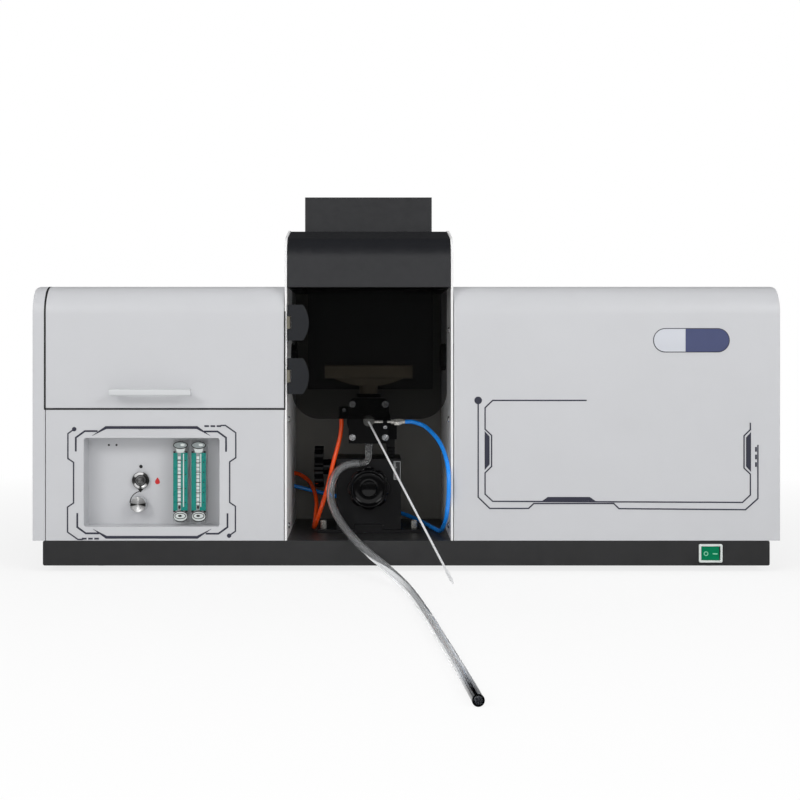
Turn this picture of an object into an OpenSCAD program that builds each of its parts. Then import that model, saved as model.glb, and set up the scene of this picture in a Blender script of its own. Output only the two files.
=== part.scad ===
// Bench flame atomic absorption spectrometer: lamp housing, burner bay and monochromator housing on one base.
// X runs to the right, Y to the back and Z up. The origin lies on the bench under the middle of the housings.

/* [Housings] */
// Overall width across the end faces
body_w = 1020; // [960:1:1100]
// Depth of the housings
body_d = 490; // [470:1:540]
// Height of the housings above the base
housing_h = 348; // [340:1:380]
// Radius of the rolled edge between front and top
edge_r = 38; // [24:1:48]
// Radius of the right cover's upper end corner
cover_corner_r = 5; // [4:1:34]
// Thickness of the folded sheet covers
sheet_t = 3; // [2:0.5:3.5]
// Gap between neighbouring covers
seam = 1; // [0.6:0.1:1.6]

/* [Base] */
// Height of the base tray
base_h = 34; // [32:1:44]
// How far the housings overhang the base at each end
base_inset = 14; // [8:1:15]
// Wall of the base tray
base_wall = 3; // [2:0.5:4]
// Radius of the base tray's long edges at its ends
base_corner_r = 2.5; // [1:0.5:3]
// Thickness of the plate that closes the base
base_plate_t = 2; // [1.5:0.5:3]
// Height of the rubber feet
foot_h = 8; // [5:1:20]
// Diameter of the rubber feet
foot_d = 40; // [25:1:60]
// Foot centre to the base's edges
foot_inset = 70; // [50:1:100]

/* [Lamp housing] */
// Thickness of the left end panel
end_panel_t = 17; // [16:1:24]
// Radius of the end panel's upper corner
end_corner_r = 6; // [4:1:16]
// Height of the lamp door's front
lamp_door_h = 167; // [160:1:180]
// Depth of the lamp door's top, front to back
lamp_door_d = 345; // [320:1:360]
// Width of the folded flange at the lamp door's ends
lamp_door_flange = 16; // [8:1:20]
// Length of the door handle
handle_len = 110; // [80:1:160]
// How far the handle stands off the door
handle_proud = 25; // [20:1:32]
// Height of the handle bar
handle_bar_h = 9; // [6:1:14]
// Handle bar above the door's lower edge
handle_up = 22; // [16:1:40]

/* [Lamp turret] */
// Radius of the circle that the lamps stand on
lamp_circle_r = 46; // [44:1:48]
// Number of lamps
lamp_count = 6; // [4:1:6]
// Diameter of a lamp's bulb
lamp_bulb_d = 38; // [30:1:40]
// Diameter of a lamp's base
lamp_base_d = 32; // [24:1:34]
// Length of a lamp's bulb
lamp_bulb_len = 148; // [120:1:160]
// Diameter of the turret's shaft
turret_shaft_d = 10; // [8:1:14]

/* [Burner bay] */
// Middle of the bay, from the middle of the base
bay_x = -51; // [-80:1:-20]
// Clear width of the bay
bay_w = 224; // [216:1:240]
// Depth of the bay, front to back wall
bay_depth = 250; // [240:1:270]
// Hood's top above the housings
hood_rise = 83; // [60:1:100]
// Radius of the hood's front edge
hood_r = 30; // [20:1:50]
// Depth of the hood's sloping top
hood_run = 100; // [80:1:120]
// Fall of the hood's sloping top
hood_fall = 20; // [8:1:24]
// Width of the chimney
chimney_w = 195; // [160:1:205]
// Depth of the chimney
chimney_d = 120; // [80:1:150]
// Chimney's top above the hood
chimney_h = 64; // [40:1:120]
// Height of the light beam above the base
beam_h = 250; // [246:1:254]
// Diameter of the lens tubes
lens_tube_d = 39; // [30:1:44]

/* [Flame door] */
// Thickness of the flame door
flame_door_t = 4; // [3:0.5:5]
// Height of the flame door
flame_door_h = 177; // [170:1:185]
// Radius of the flame door's lower corners
flame_door_r = 38; // [20:1:50]
// Height of a hinge block
hinge_block_h = 49; // [40:1:54]
// Reach of a hinge block from its pin
hinge_block_w = 27; // [20:1:30]
// Diameter of the flame door's hinge pins
flame_pin_d = 2.5; // [2:0.1:2.7]
// Diameter of the lamp door's hinge pins
hinge_pin_d = 4; // [3:0.5:4]

/* [Controls] */
// Width of the control recess
recess_w = 185; // [175:1:200]
// Height of the control recess
recess_h = 121; // [119:1:140]
// Depth of the control recess
recess_d = 32; // [30:1:45]
// Diameter of the ignition button's cap
button_d = 13; // [10:0.5:15]
// Diameter of the ignition button's bezel
button_bezel_d = 22; // [19:1:26]
// Travel of the ignition button
button_travel = 2.5; // [1:0.5:3]
// Diameter of the fuel valve's knob
valve_knob_d = 22; // [18:1:28]
// Diameter of the fuel valve's stem
valve_stem_d = 6; // [4:0.5:8]
// Width of a flowmeter
meter_w = 20.5; // [18:0.5:22]
// Height of a flowmeter
meter_h = 113; // [100:1:115]
// Depth of a flowmeter
meter_d = 22; // [18:1:26]
// Spacing of the flowmeters
meter_pitch = 25; // [23:0.5:30]
// Diameter of a flowmeter's tube
meter_bore_d = 9; // [7:0.5:12]
// Width of the power switch's frame
switch_w = 32; // [30:1:36]
// Height of the power switch's frame
switch_h = 25; // [22:1:28]
// Power switch's middle from the right end
switch_in = 95; // [60:1:140]

/* [Burner stand] */
// Burner's axis behind the housing fronts
burner_back = 130; // [126:1:136]
// Width of the stand block
stand_w = 92; // [90:1:100]
// Depth of the stand block
stand_d = 90; // [88:1:96]
// Height of the stand block's top above the base
stand_h = 105; // [104:1:110]
// Diameter of the lobed knobs
knob_d = 60; // [50:1:62]
// Thickness of the lobed knobs
knob_t = 20; // [14:1:24]
// Height of the front knob's axis above the base
front_knob_h = 66; // [62:1:68]
// Height of the side knob's axis above the base
side_knob_h = 91; // [89:1:92]
// Diameter of the knobs' shafts
knob_shaft_d = 8; // [6:0.5:9]
// Width of the lifting rack
rack_w = 12; // [10:1:14]
// Tooth module of the rack and pinion
tooth_m = 1.5; // [1.2:0.1:1.5]
// Number of pinion teeth
pinion_teeth = 12; // [12:1:14]

/* [Burner] */
// Length of the burner head
burner_len = 127; // [110:1:132]
// Width of the burner head
burner_w = 26; // [20:1:30]
// Height of the burner head
burner_h = 19; // [14:1:24]
// Diameter of the burner's neck
burner_neck_d = 27; // [22:0.5:30]
// Diameter of the spray chamber
chamber_d = 62; // [56:1:63]
// Length of the spray chamber behind its front plate
chamber_len = 96; // [90:1:100]
// Height of the spray chamber's axis above the base
chamber_up = 160; // [158:1:164]
// Width of the chamber's front plate
plate_w = 57; // [56:1:62]
// Height of the chamber's front plate
plate_h = 64; // [63:1:66]
// Thickness of the chamber's front plate
plate_t = 14; // [13:1:16]
// Diameter of the nebulizer's body
nebulizer_d = 12; // [9:0.5:13]
// Diameter of the sample capillary
capillary_d = 2.8; // [2:0.1:4]

/* [Hoses] */
// Outer diameter of the gas hoses
gas_hose_d = 6; // [4:0.5:6]
// Outer diameter of the drain hose
drain_hose_d = 11; // [9:0.5:11]
// Diameter of the hose holes in the bay's left wall
hose_hole_d = 15; // [13:0.5:16]

/* [Fan] */
// Side of the fan's frame
fan_side = 120; // [92:1:130]
// Depth of the fan's frame
fan_depth = 25; // [20:1:38]
// Diameter of the fan's axle
fan_axle_d = 6; // [4:0.5:8]

/* [Hidden] */
$fn = 64;

// Clearances
run_gap = 0.05;
slide_gap = 0.3;
cut = 1;

// Main planes
x_left = -body_w / 2;
x_right = body_w / 2;
y_front = -body_d / 2;
y_rear = body_d / 2;
z_base = foot_h + base_h;
z_top = z_base + housing_h;
z_hood = z_top + hood_rise;
base_x = x_right - base_inset;
y_back_sheet = y_rear - sheet_t;
bay_left = bay_x - bay_w / 2;
bay_right = bay_x + bay_w / 2;
beam_y = y_front + burner_back;
beam_z = z_base + beam_h;

// Lamp housing
front_x0 = x_left + end_panel_t + seam;
front_x1 = bay_left - sheet_t - seam;
door_z0 = z_top - lamp_door_h;
door_y1 = y_front + lamp_door_d;
gutter_w = 12;
gutter_y = door_y1 + gutter_w;
gutter_h = 15;
lid_axis_y = door_y1 + gutter_w / 2;
lid_axis_z = z_top - 6;
lid_knuckle_r = hinge_pin_d / 2 + 2;
lid_lug_w = 16;
lid_fixed_w = 8;
lid_lug_gap = 0.5;
lid_station_in = 52;
lid_stations = [front_x0 + lid_station_in, front_x1 - lid_station_in];
lid_pin_len = lid_lug_w + 2 * lid_fixed_w + 2 * lid_lug_gap;
handle_x = (front_x0 + front_x1) / 2 - 17;
handle_z = door_z0 + handle_up;
handle_post_d = 8;
handle_bar_t = 6;
handle_round = 2;

// Lamp turret
turret_rim = 4;
turret_room = 6;
lid_room = 3;
shelf_drop = 3;
turret_r = lamp_circle_r + lamp_base_d / 2 + turret_rim;
turret_drop = max(0, beam_z + turret_r + lid_room + sheet_t - z_top);
turret_y = beam_y + sqrt(pow(lamp_circle_r, 2) - pow(turret_drop, 2));
turret_z = beam_z - turret_drop;
lamp_turn = 180 - asin(turret_drop / lamp_circle_r);
shelf_z = min(door_z0 - shelf_drop, turret_z - turret_r - turret_room);
turret_t = 8;
turret_hub_d = 30;
turret_reach = 28;
bracket_t = 6;
bracket_w = 62;
motor_side = 44;
motor_len = 36;
motor_room = 10;
bracket_x = front_x0 + motor_len + motor_room;
turret_x = bracket_x + turret_reach;
lamp_base_len = 22;

// Lens tubes
lens_flange = 6;
lens_flange_t = 4;
lens_out = 24;
lens_in = 8;
lens_len = lens_out + sheet_t + lens_in;
lens_wall = 4.5;

// Hood and chimney
hood_z0 = z_top - 2;
hood_wall = 2.5;
hood_lip = 1;
hood_slope = atan(hood_fall / hood_run);
chimney_wall = 2;
chimney_x0 = bay_x - chimney_w / 2;
chimney_x1 = bay_x + chimney_w / 2;
chimney_y0 = y_front + bay_depth;
chimney_y1 = chimney_y0 + chimney_d;
chimney_foot = 8;
shield_left = 91;
shield_right = 97;
shield_back = 70;
shield_down = 49;
shield_room = 4;
shield_t = 2;

// Flame door
flame_x0 = bay_left + 7;
flame_x1 = bay_right - 5.5;
flame_z1 = z_top - 5;
flame_z0 = flame_z1 - flame_door_h;
flame_y = y_front + 1;
hinge_block_t = 5;
hinge_wall_gap = 0.7;
flame_axis_x = bay_left + hinge_block_t / 2 + hinge_wall_gap;
flame_axis_y = flame_y - hinge_block_t / 2;
hinge_down = 45.5;
hinge_pitch = 73;
hinge_zs = [flame_z1 - hinge_down, flame_z1 - hinge_down - hinge_pitch];
hinge_bulge = 8;
hinge_lug_h = 17;
hinge_lug_t = 4;
hinge_leaf_d = 28;
hinge_leaf_t = 1.5;

// Controls
panel_x = (front_x0 + front_x1) / 2;
recess_left = 18;
recess_up = 79.5;
recess_x = panel_x - recess_left;
recess_r = 3;
tray_t = 2;
tray_flange = 8;
tray_room = 1;
recess_z = min(z_base + recess_up, shelf_z - sheet_t - tray_room - tray_flange - recess_h / 2);
tray_y = y_front + recess_d;
button_left = 19.5;
button_x = recess_x - button_left;
button_z = recess_z;
bezel_t = 4;
bezel_wall = 2.5;
button_proud = 1.5;
button_flange_d = button_d + 4;
valve_left = 21;
valve_down = 32;
valve_x = recess_x - valve_left;
valve_z = recess_z - valve_down;
valve_sleeve_d = valve_stem_d + 6;
valve_flange_d = valve_stem_d + 10;
valve_flange_t = 3;
valve_len = 28;
valve_box = 24;
valve_box_back = 12;
valve_knob_t = 14;
valve_flutes = 24;
meter_right = 50.5;
meter_x = recess_x + meter_right;
meter_xs = [meter_x - meter_pitch / 2, meter_x + meter_pitch / 2];
meter_end = 15;
meter_vent_d = 4;
float_h = 10;
float_d = meter_bore_d - 0.6;
switch_x = x_right - switch_in;
switch_z = foot_h + base_h / 2;
switch_frame_t = 2.5;
switch_rim = 3;
switch_depth = 22;
switch_wall = 1.5;
rocker_tilt = 7;
rocker_back = 4;
rocker_face = 3;
rocker_dish = 1.2;
rocker_side_gap = 1.3;
rocker_pin_d = 3;

// Burner stand
stand_fore = 44;
stand_y0 = beam_y - stand_fore;
stand_y1 = stand_y0 + stand_d;
stand_z1 = z_base + stand_h;
rail_plate_t = 4;
rail_plate_w = 146;
rail_w = 40;
rail_h = 8;
rail_y0 = stand_y0 - 1;
rail_y1 = stand_y1 + 14;
rail_post_t = 7;
rail_post_w = 32;
front_knob_z = z_base + front_knob_h;
side_knob_z = z_base + side_knob_h;
knob_standoff = 20;
knob_lobes = 8;
knob_lobe_r = 5;
knob_hub_r = 11;
knob_groove_d = 4;
shaft_collar_r = 6;
pitch_r = tooth_m * pinion_teeth / 2;
tooth_add = 0.8 * tooth_m;
tooth_ded = 1.1 * tooth_m;
tooth_pitch = PI * tooth_m;
tooth_w = 0.4 * tooth_pitch;
tooth_slope = 0.36;
pinion_y = beam_y - 8;
rack_line_y = pinion_y + pitch_r;
rack_d = 20;
rack_x = bay_x + 26;
rack_z0 = z_base + 18;
rack_z1 = z_base + chamber_up - 30;
pinion_room = 0.8;
side_knob_t = 13;
side_hub_len = stand_w / 2 - 27;
hold_x = 65;
hold_y = stand_y0 + 17;
hold_head_d = 9;
hold_head_h = 12;
hold_shank_d = 5;

// Spray chamber and burner
chamber_z = z_base + chamber_up;
plate_fore = 60;
plate_y0 = beam_y - plate_fore;
chamber_y0 = plate_y0 + plate_t;
chamber_flange_t = 10;
chamber_wall = 4;
plate_chamfer = 6;
screw_in = 5.3;
screw_head_d = 10.4;
screw_head_h = 3.5;
screw_d = 5;
screw_len = 22;
socket_wall = 4.5;
socket_h = 6;
neck_seat = 12;
burner_rise = 28;
burner_z0 = chamber_z + chamber_d / 2 + burner_rise;
burner_edge_r = 2;
burner_flare = 11.5;
burner_flare_in = 13.5;
burner_flare_w = 22;
slot_len = 100;
slot_w = 1;
slot_deep = 4;
nebulizer_back = 24;
nebulizer_nose = 11;
nebulizer_collar_t = 4;
nebulizer_collar_d = nebulizer_d + 3.5;
nebulizer_boss_w = 5;
nebulizer_boss_x = 8;
capillary_reach = [103, -247, -186];
oxidant_y = plate_y0 - 6;
oxidant_z = chamber_z - 1;
oxidant_tube_d = 3;
oxidant_hex_x = 34;
oxidant_hex_len = 14;
oxidant_hex_d = 11;
oxidant_end_x = 51;
oxidant_end_d = 8;
clip_x = 20;
clip_w = 6;
clip_h = 16;
elbow_w = 14.5;
elbow_h = 17.5;
elbow_d = 12;
elbow_chamfer = 8;
elbow_y = chamber_y0 + 1;
elbow_z = chamber_z + 2;
spout_y = plate_y0 + 7;
spout_d = 9;
spout_barb_d = 12.5;
spout_len = 18;
spout_bend_r = 11;
spout_barbs = 4;
spout_barb_gap = 0.6;
spout_stub = 2;

// Right housing
cover_x0 = bay_right + sheet_t + seam;
mono_in = 45;
mono_x0 = cover_x0 + mono_in;
mono_w = 290;
mono_d = 250;
mono_h = 150;
mono_fore = 75;
mono_down = 110;
mono_y0 = beam_y - mono_fore;
mono_z0 = beam_z - mono_down;
mono_wall = 5;
mono_leg_d = 30;
mono_leg_in = 30;
slit_d = 14;
detector_d = 56;
detector_len = 62;
supply_w = 180;
supply_d = 110;
supply_h = 88;
supply_in = 30;
supply_back = 40;
fan_in = 110;
fan_up = 198;
fan_x = x_right - fan_in;
fan_z = z_base + fan_up;
fan_bore = fan_side - 6;
fan_hub_r = 19;
fan_blades = 7;
fan_spoke_w = 6;
fan_spoke_t = 4;
fan_rotor_gap = 2;
guard_ring_w = 2.5;
guard_rings = [14, 26, 38, 50];
inlet_in = 45;
inlet_up = 45;
inlet_x = x_right - inlet_in;
inlet_z = z_base + inlet_up;
inlet_w = 30;
inlet_h = 24;
inlet_flange = 5;
inlet_depth = 24;
inlet_room = [22.5, 16];
inlet_blade = [2, 4, 10];
port_in = 160;
port_pitch = 45;
port_up = 68;
port_xs = [front_x0 + port_in, front_x0 + port_in + port_pitch];
port_z = z_base + port_up;
port_d = 8;
port_len = 18;
port_hex_d = 16;
port_hex_t = 8;
port_tail_d = 10;
port_tail_len = 18;
vent_in = 150;
vent_up = 90;
vent_w = 60;
vent_h = 4;
vent_pitch = 12;
vent_count = 9;

// Bay fastenings
bay_screw_back = 40;
bay_screw_low = 16;
bay_screw_mid = 164;
bay_screw_high = 288;
bay_screw_zs = [z_base + bay_screw_low, z_base + bay_screw_mid, z_base + bay_screw_high];
bay_screw_head_d = 8.4;
bay_screw_head_h = 2.5;
bay_screw_d = 4;
hose_hole_back = 83;
hose_hole_up = 34;
hose_hole_pitch = 20;
hose_holes_y = beam_y + hose_hole_back;
hose_holes_z = [for (i = [2, 1, 0]) z_base + hose_hole_up + i * hose_hole_pitch];

// Hose routes, each from its fitting on the spray chamber
fuel_route = [
    [-90, -154, 203.8], [-90, -154, 193], [-92, -156, 178], [-96.5, -160, 160], [-101.5, -163, 142],
    [-105.5, -163.5, 124], [-110, -162, 106], [-114.5, -159.5, 90], [-119.5, -160, 75],
    [-124, -157, 61.5], [-127.5, -148, 51.5], [-129.5, -136.5, 47], [-130, -124.5, 48],
    [-129, -112.5, 54.5], [-128, -104, 66], [-127.5, -96.5, 77.5], [-129.5, -83.5, 88],
    [-133.5, -67.5, 96.5], [-139, -49.5, 104], [-148, -39, 110.5], [-156.5, -34, 114.5],
    [-165.5, -32, 116], [-175, -32, 116]
];
oxidant_route = [
    [0.2, -181, 201], [9.5, -181, 201], [18, -182.5, 199], [27.5, -187, 195], [36, -196.5, 188],
    [44, -208, 179], [50.5, -221, 167.5], [55.5, -235, 153.5], [58.5, -248, 137.5], [59, -253, 120],
    [58.5, -251, 103], [57, -244, 87], [55.5, -232, 73], [53.5, -216, 61], [51.5, -198, 52],
    [49.5, -180, 47], [47, -162, 45.6], [43.5, -143, 45.6], [39.5, -124, 46], [34.5, -105, 47],
    [28, -86, 48.5], [19, -69, 51], [7, -55, 54.5], [-8, -45, 58.5], [-26, -39, 63], [-46, -36, 68],
    [-67, -34.5, 73], [-88, -33.5, 78], [-109, -33, 83], [-129, -32.5, 88], [-148, -32, 92.5],
    [-163, -32, 96], [-175, -32, 96]
];
drain_route = [
    [-64.2, -168, 141], [-73.5, -168, 140.7], [-84, -168.6, 138.2], [-92.8, -170, 132.6],
    [-99.5, -172.3, 124.2], [-103.6, -175.6, 113.6], [-105, -180.2, 102], [-104, -186, 91],
    [-100.5, -193.5, 81], [-95.5, -203, 71.5], [-89.5, -214.5, 63], [-83.5, -228.5, 56.5],
    [-77.5, -244.5, 51.5], [-71.5, -261, 47], [-64.5, -277, 42],
    [-56, -293, 36.5], [-47, -309.5, 30.5], [-37, -327, 25], [-27, -346.5, 19], [-17.5, -367.5, 13.5],
    [-9.5, -391, 9], [-3.5, -418.5, 6.5], [1, -453, 5.7], [5.5, -500, 5.7], [10.5, -560, 5.7],
    [16, -630, 5.7], [21, -705, 5.7], [26.5, -780, 5.7], [31.5, -855, 5.7], [36, -925, 5.7], [39.5, -985, 5.7]
];
hose_sides = 10;

// Colours
shell_c = [0.80, 0.81, 0.82];
dark_c = [0.22, 0.22, 0.23];
black_c = [0.06, 0.06, 0.06];
steel_c = [0.72, 0.73, 0.75];
smoke_c = [0.12, 0.11, 0.10, 0.6];
rubber_c = [0.10, 0.10, 0.10];
clear_c = [0.75, 0.88, 0.86, 0.5];
orange_c = [0.81, 0.27, 0.07];
blue_c = [0.15, 0.54, 0.89];
green_c = [0.05, 0.48, 0.32];

// A box given by its two corners
module span(a, b) {
    translate(a) cube(b - a);
}

// An outline in Y and Z, drawn out along X
module along_x(x, len) {
    translate([x, 0, 0]) rotate([90, 0, 90]) linear_extrude(len) children();
}

// An outline in X and Z, drawn out along Y
module along_y(y, len) {
    translate([0, y + len, 0]) rotate([90, 0, 0]) linear_extrude(len) children();
}

// A round bar along X
module bar_x(x, y, z, len, d) {
    translate([x, y, z]) rotate([0, 90, 0]) cylinder(d = d, h = len);
}

// A round bar along Y
module bar_y(x, y, z, len, d) {
    translate([x, y + len, z]) rotate([90, 0, 0]) cylinder(d = d, h = len);
}

// A round bar along Z
module bar_z(x, y, z, len, d) {
    translate([x, y, z]) cylinder(d = d, h = len);
}

// A rectangle whose upper left corner is rounded
module one_round(a, b, r) {
    union() {
        translate([a.x + r, a.y]) square([b.x - a.x - r, b.y - a.y]);
        translate([a.x, a.y]) square([r + 0.01, b.y - a.y - r]);
        translate([a.x + r, b.y - r]) intersection() {
            circle(r, $fn = 96);
            translate([-r, -0.01]) square([r + 0.01, r + 0.01]);
        }
    }
}

// A rectangle with four rounded corners
module all_round(a, b, r) {
    union() {
        translate([a.x + r, a.y]) square([b.x - a.x - 2 * r, b.y - a.y]);
        translate([a.x, a.y + r]) square([b.x - a.x, b.y - a.y - 2 * r]);
        for (x = [a.x + r, b.x - r], y = [a.y + r, b.y - r]) {
            translate([x, y]) circle(r);
        }
    }
}

// The outline of a housing's side, rounded between front and top and drawn in by inset
module side_outline(z0, y1, z1, r, inset) {
    one_round([y_front + inset, z0], [y1, z1 - inset], r - inset);
}

// The tower's side: upright front, rounded edge, sloping top and level rear, drawn in by inset
module tower_outline(z0, y1, inset) {
    edge = [y_front + hood_r, z_hood - hood_fall - hood_r * tan(45 - hood_slope / 2)];
    r = hood_r - inset;
    low = min(z0, edge.y) - cut;
    intersection() {
        translate([y_front, z0]) square([y1 - y_front, z_hood - z0]);
        union() {
            translate(edge) circle(r, $fn = 96);
            polygon([
                [y_front + inset, low], [y_front + inset, edge.y],
                edge + r * [-sin(hood_slope), cos(hood_slope)],
                [y_front + hood_run + inset * tan(hood_slope / 2), z_hood - inset],
                [y1, z_hood - inset], [y1, low]
            ]);
        }
    }
}

// A lobed knob's face
module lobed_outline() {
    union() {
        circle(d = knob_d - 2 * knob_lobe_r + 2);
        for (i = [0 : knob_lobes - 1]) {
            rotate(i * 360 / knob_lobes) translate([knob_d / 2 - knob_lobe_r, 0])
                circle(knob_lobe_r, $fn = 32);
        }
    }
}

// The frame of a hose at point i: its direction and two directions across it
function unit(v) = v / norm(v);
function hose_dir(p, i) = unit(p[min(i + 1, len(p) - 1)] - p[max(i - 1, 0)]);
function hose_side(p, i, last) =
    let (d = hose_dir(p, i))
    unit(last - d * (last * d));
function hose_sides_at(p, i, list) =
    i == len(p) ? list : hose_sides_at(p, i + 1, concat(list, [hose_side(p, i, list[i - 1])]));
function hose_ring(p, i, side, r) =
    let (d = hose_dir(p, i), up = cross(d, side))
    [for (k = [0 : hose_sides - 1])
        let (a = 360 * k / hose_sides)
        p[i] + r * (cos(a) * side + sin(a) * up)];

// A tube of n sides swept along a route
module hose(p, d) {
    first = hose_side(p, 0, [0, 1, 0.1]);
    sides = hose_sides_at(p, 1, [first]);
    n = hose_sides;
    rings = len(p);
    points = [for (i = [0 : rings - 1]) each hose_ring(p, i, sides[i], d / 2)];
    walls = [for (i = [0 : rings - 2], k = [0 : n - 1])
        let (a = i * n + k, b = i * n + (k + 1) % n)
        each [[a, a + n, b], [b, a + n, b + n]]];
    head = [for (k = [1 : n - 2]) [0, k, k + 1]];
    tail = [for (k = [1 : n - 2]) [0, k + 1, k] + [1, 1, 1] * (rings - 1) * n];
    polyhedron(points, concat(walls, head, tail));
}

module base_tray() {
    hole_w = switch_w / 2 - switch_rim + switch_wall;
    hole_h = switch_h / 2 - switch_rim + switch_wall;
    color(dark_c) difference() {
        along_y(y_front, body_d) all_round([-base_x, foot_h], [base_x, z_base], base_corner_r);
        span([-base_x + base_wall, y_front + base_wall, foot_h - cut],
            [base_x - base_wall, y_rear - base_wall, z_base - base_wall]);
        span([switch_x - hole_w, y_front - cut, switch_z - hole_h],
            [switch_x + hole_w, y_front + base_wall + cut, switch_z + hole_h]);
    }
}

module base_plate() {
    in = base_wall + run_gap;
    color(dark_c) span([-base_x + in, y_front + in, foot_h],
        [base_x - in, y_rear - in, foot_h + base_plate_t]);
}

module rubber_feet() {
    color(rubber_c) for (sx = [-1, 1], sy = [-1, 1]) {
        translate([sx * (base_x - foot_inset), sy * (y_rear - foot_inset), 0])
            cylinder(d1 = foot_d - 4, d2 = foot_d, h = foot_h);
    }
}

module left_end_panel() {
    color(shell_c) difference() {
        end_form(0, end_panel_t);
        end_form(sheet_t, end_panel_t + cut);
    }
}

// The end panel's form, drawn in by inset at its rim and its outer face
module end_form(inset, t) {
    intersection() {
        along_x(x_left + inset, t) side_outline(z_base + inset, y_rear - inset, z_top, edge_r, inset);
        along_y(y_front - cut, body_d + 2 * cut)
            one_round([x_left + inset, z_base - cut], [x_left + 2 * end_panel_t, z_top - inset],
                end_corner_r - inset);
    }
}

module left_front_panel() {
    color(shell_c) along_y(y_front, sheet_t) difference() {
        translate([front_x0, z_base]) square([front_x1 - front_x0, door_z0 - seam - z_base]);
        recess_outline(0, recess_r);
    }
}

// The control recess's mouth, grown by g
module recess_outline(g, r) {
    all_round([recess_x - recess_w / 2 - g, recess_z - recess_h / 2 - g],
        [recess_x + recess_w / 2 + g, recess_z + recess_h / 2 + g], r + g);
}

module control_recess() {
    y0 = y_front + sheet_t;
    color(shell_c) difference() {
        union() {
            along_y(y0, tray_t) recess_outline(tray_flange, recess_r);
            along_y(y0, tray_y + tray_t - y0) recess_outline(tray_t, recess_r);
        }
        along_y(y0 - cut, tray_y - y0 + cut) recess_outline(0, recess_r);
        bar_y(button_x, tray_y - cut, button_z, tray_t + 2 * cut, button_d + 2 * bezel_wall + 2 * run_gap);
        bar_y(valve_x, tray_y - cut, valve_z, tray_t + 2 * cut, valve_sleeve_d + 2 * run_gap);
    }
}

module left_chassis() {
    y0 = y_front + sheet_t;
    y1 = y_back_sheet;
    bulk_y = gutter_y + sheet_t;
    color(steel_c) union() {
        span([front_x0, y0, shelf_z - sheet_t], [front_x1, y1, shelf_z]);
        span([front_x0, y0, z_base], [front_x0 + sheet_t, y1, shelf_z - sheet_t]);
        span([front_x0, bulk_y, shelf_z], [front_x1, bulk_y + sheet_t, z_top - sheet_t]);
        span([front_x1 - sheet_t, y0, shelf_z - gutter_h], [front_x1, y1, shelf_z - sheet_t]);
    }
}

// A hinge ear of the lamp door, from its knuckle to a tongue that ends at y
module lid_ear(y, z0, z1) {
    difference() {
        union() {
            translate([lid_axis_y, lid_axis_z]) circle(lid_knuckle_r);
            translate([min(y, lid_axis_y), z0]) square([abs(y - lid_axis_y), z1 - z0]);
        }
        translate([lid_axis_y, lid_axis_z]) circle(hinge_pin_d / 2 + run_gap);
    }
}

module left_rear_cover() {
    lug_x = lid_lug_w / 2 + lid_lug_gap;
    color(shell_c) difference() {
        union() {
            span([x_left + end_panel_t, y_back_sheet, z_base], [front_x1, y_rear, z_top]);
            span([x_left + end_panel_t, gutter_y, z_top - sheet_t], [front_x1, y_rear, z_top]);
            span([front_x0, gutter_y, z_top - gutter_h - sheet_t], [front_x1, gutter_y + sheet_t, z_top]);
            for (x = lid_stations, side = [-lug_x - lid_fixed_w, lug_x]) {
                along_x(x + side, lid_fixed_w) lid_ear(gutter_y + cut, lid_axis_z - 3, lid_axis_z + 3);
            }
        }
        for (x = port_xs) {
            bar_y(x, y_back_sheet - cut, port_z, sheet_t + 2 * cut, port_tail_d + 2 * run_gap);
        }
    }
}

module lamp_door() {
    color(shell_c) union() {
        along_x(front_x0, front_x1 - front_x0) difference() {
            side_outline(door_z0, door_y1, z_top, edge_r, 0);
            side_outline(door_z0 - cut, door_y1 + cut, z_top, edge_r, sheet_t);
        }
        for (x = [front_x0, front_x1 - sheet_t]) {
            along_x(x, sheet_t) difference() {
                side_outline(door_z0, door_y1, z_top, edge_r, 0);
                side_outline(door_z0 - cut, door_y1 + cut, z_top, edge_r, lamp_door_flange);
            }
        }
        for (x = lid_stations) {
            along_x(x - lid_lug_w / 2, lid_lug_w)
                lid_ear(door_y1 - gutter_w, lid_axis_z - 1, z_top - sheet_t + 0.01);
        }
    }
}

module door_handle() {
    bar_y0 = y_front - handle_proud;
    half_h = handle_bar_h / 2;
    post_x = handle_len / 2 - handle_post_d;
    post_y = bar_y0 + handle_bar_t / 2;
    color(steel_c) union() {
        along_x(handle_x - handle_len / 2, handle_len)
            all_round([bar_y0, handle_z - half_h], [bar_y0 + handle_bar_t, handle_z + half_h], handle_round);
        for (side = [-1, 1]) {
            bar_y(handle_x + side * post_x, post_y, handle_z, y_front - post_y, handle_post_d);
        }
    }
}

module right_outline(x1, z0, inset, r) {
    mirror([1, 0]) one_round([-x1 + inset, z0], [-cover_x0 + cut, z_top - inset], r - inset);
}

// The right housing's form, drawn in by inset
module right_form(inset, z0, x0) {
    intersection() {
        along_x(x0, x_right - x0 + cut) side_outline(z0, y_back_sheet, z_top, edge_r, inset);
        along_y(y_front - cut, body_d + 2 * cut) right_outline(x_right, z0 - cut, inset, cover_corner_r);
    }
}

module right_cover() {
    color(shell_c) difference() {
        right_form(0, z_base, cover_x0);
        translate([0, cut, 0]) right_form(sheet_t, z_base - cut, cover_x0 - cut);
        right_form(sheet_t, z_base - cut, cover_x0 - cut);
    }
}

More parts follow.
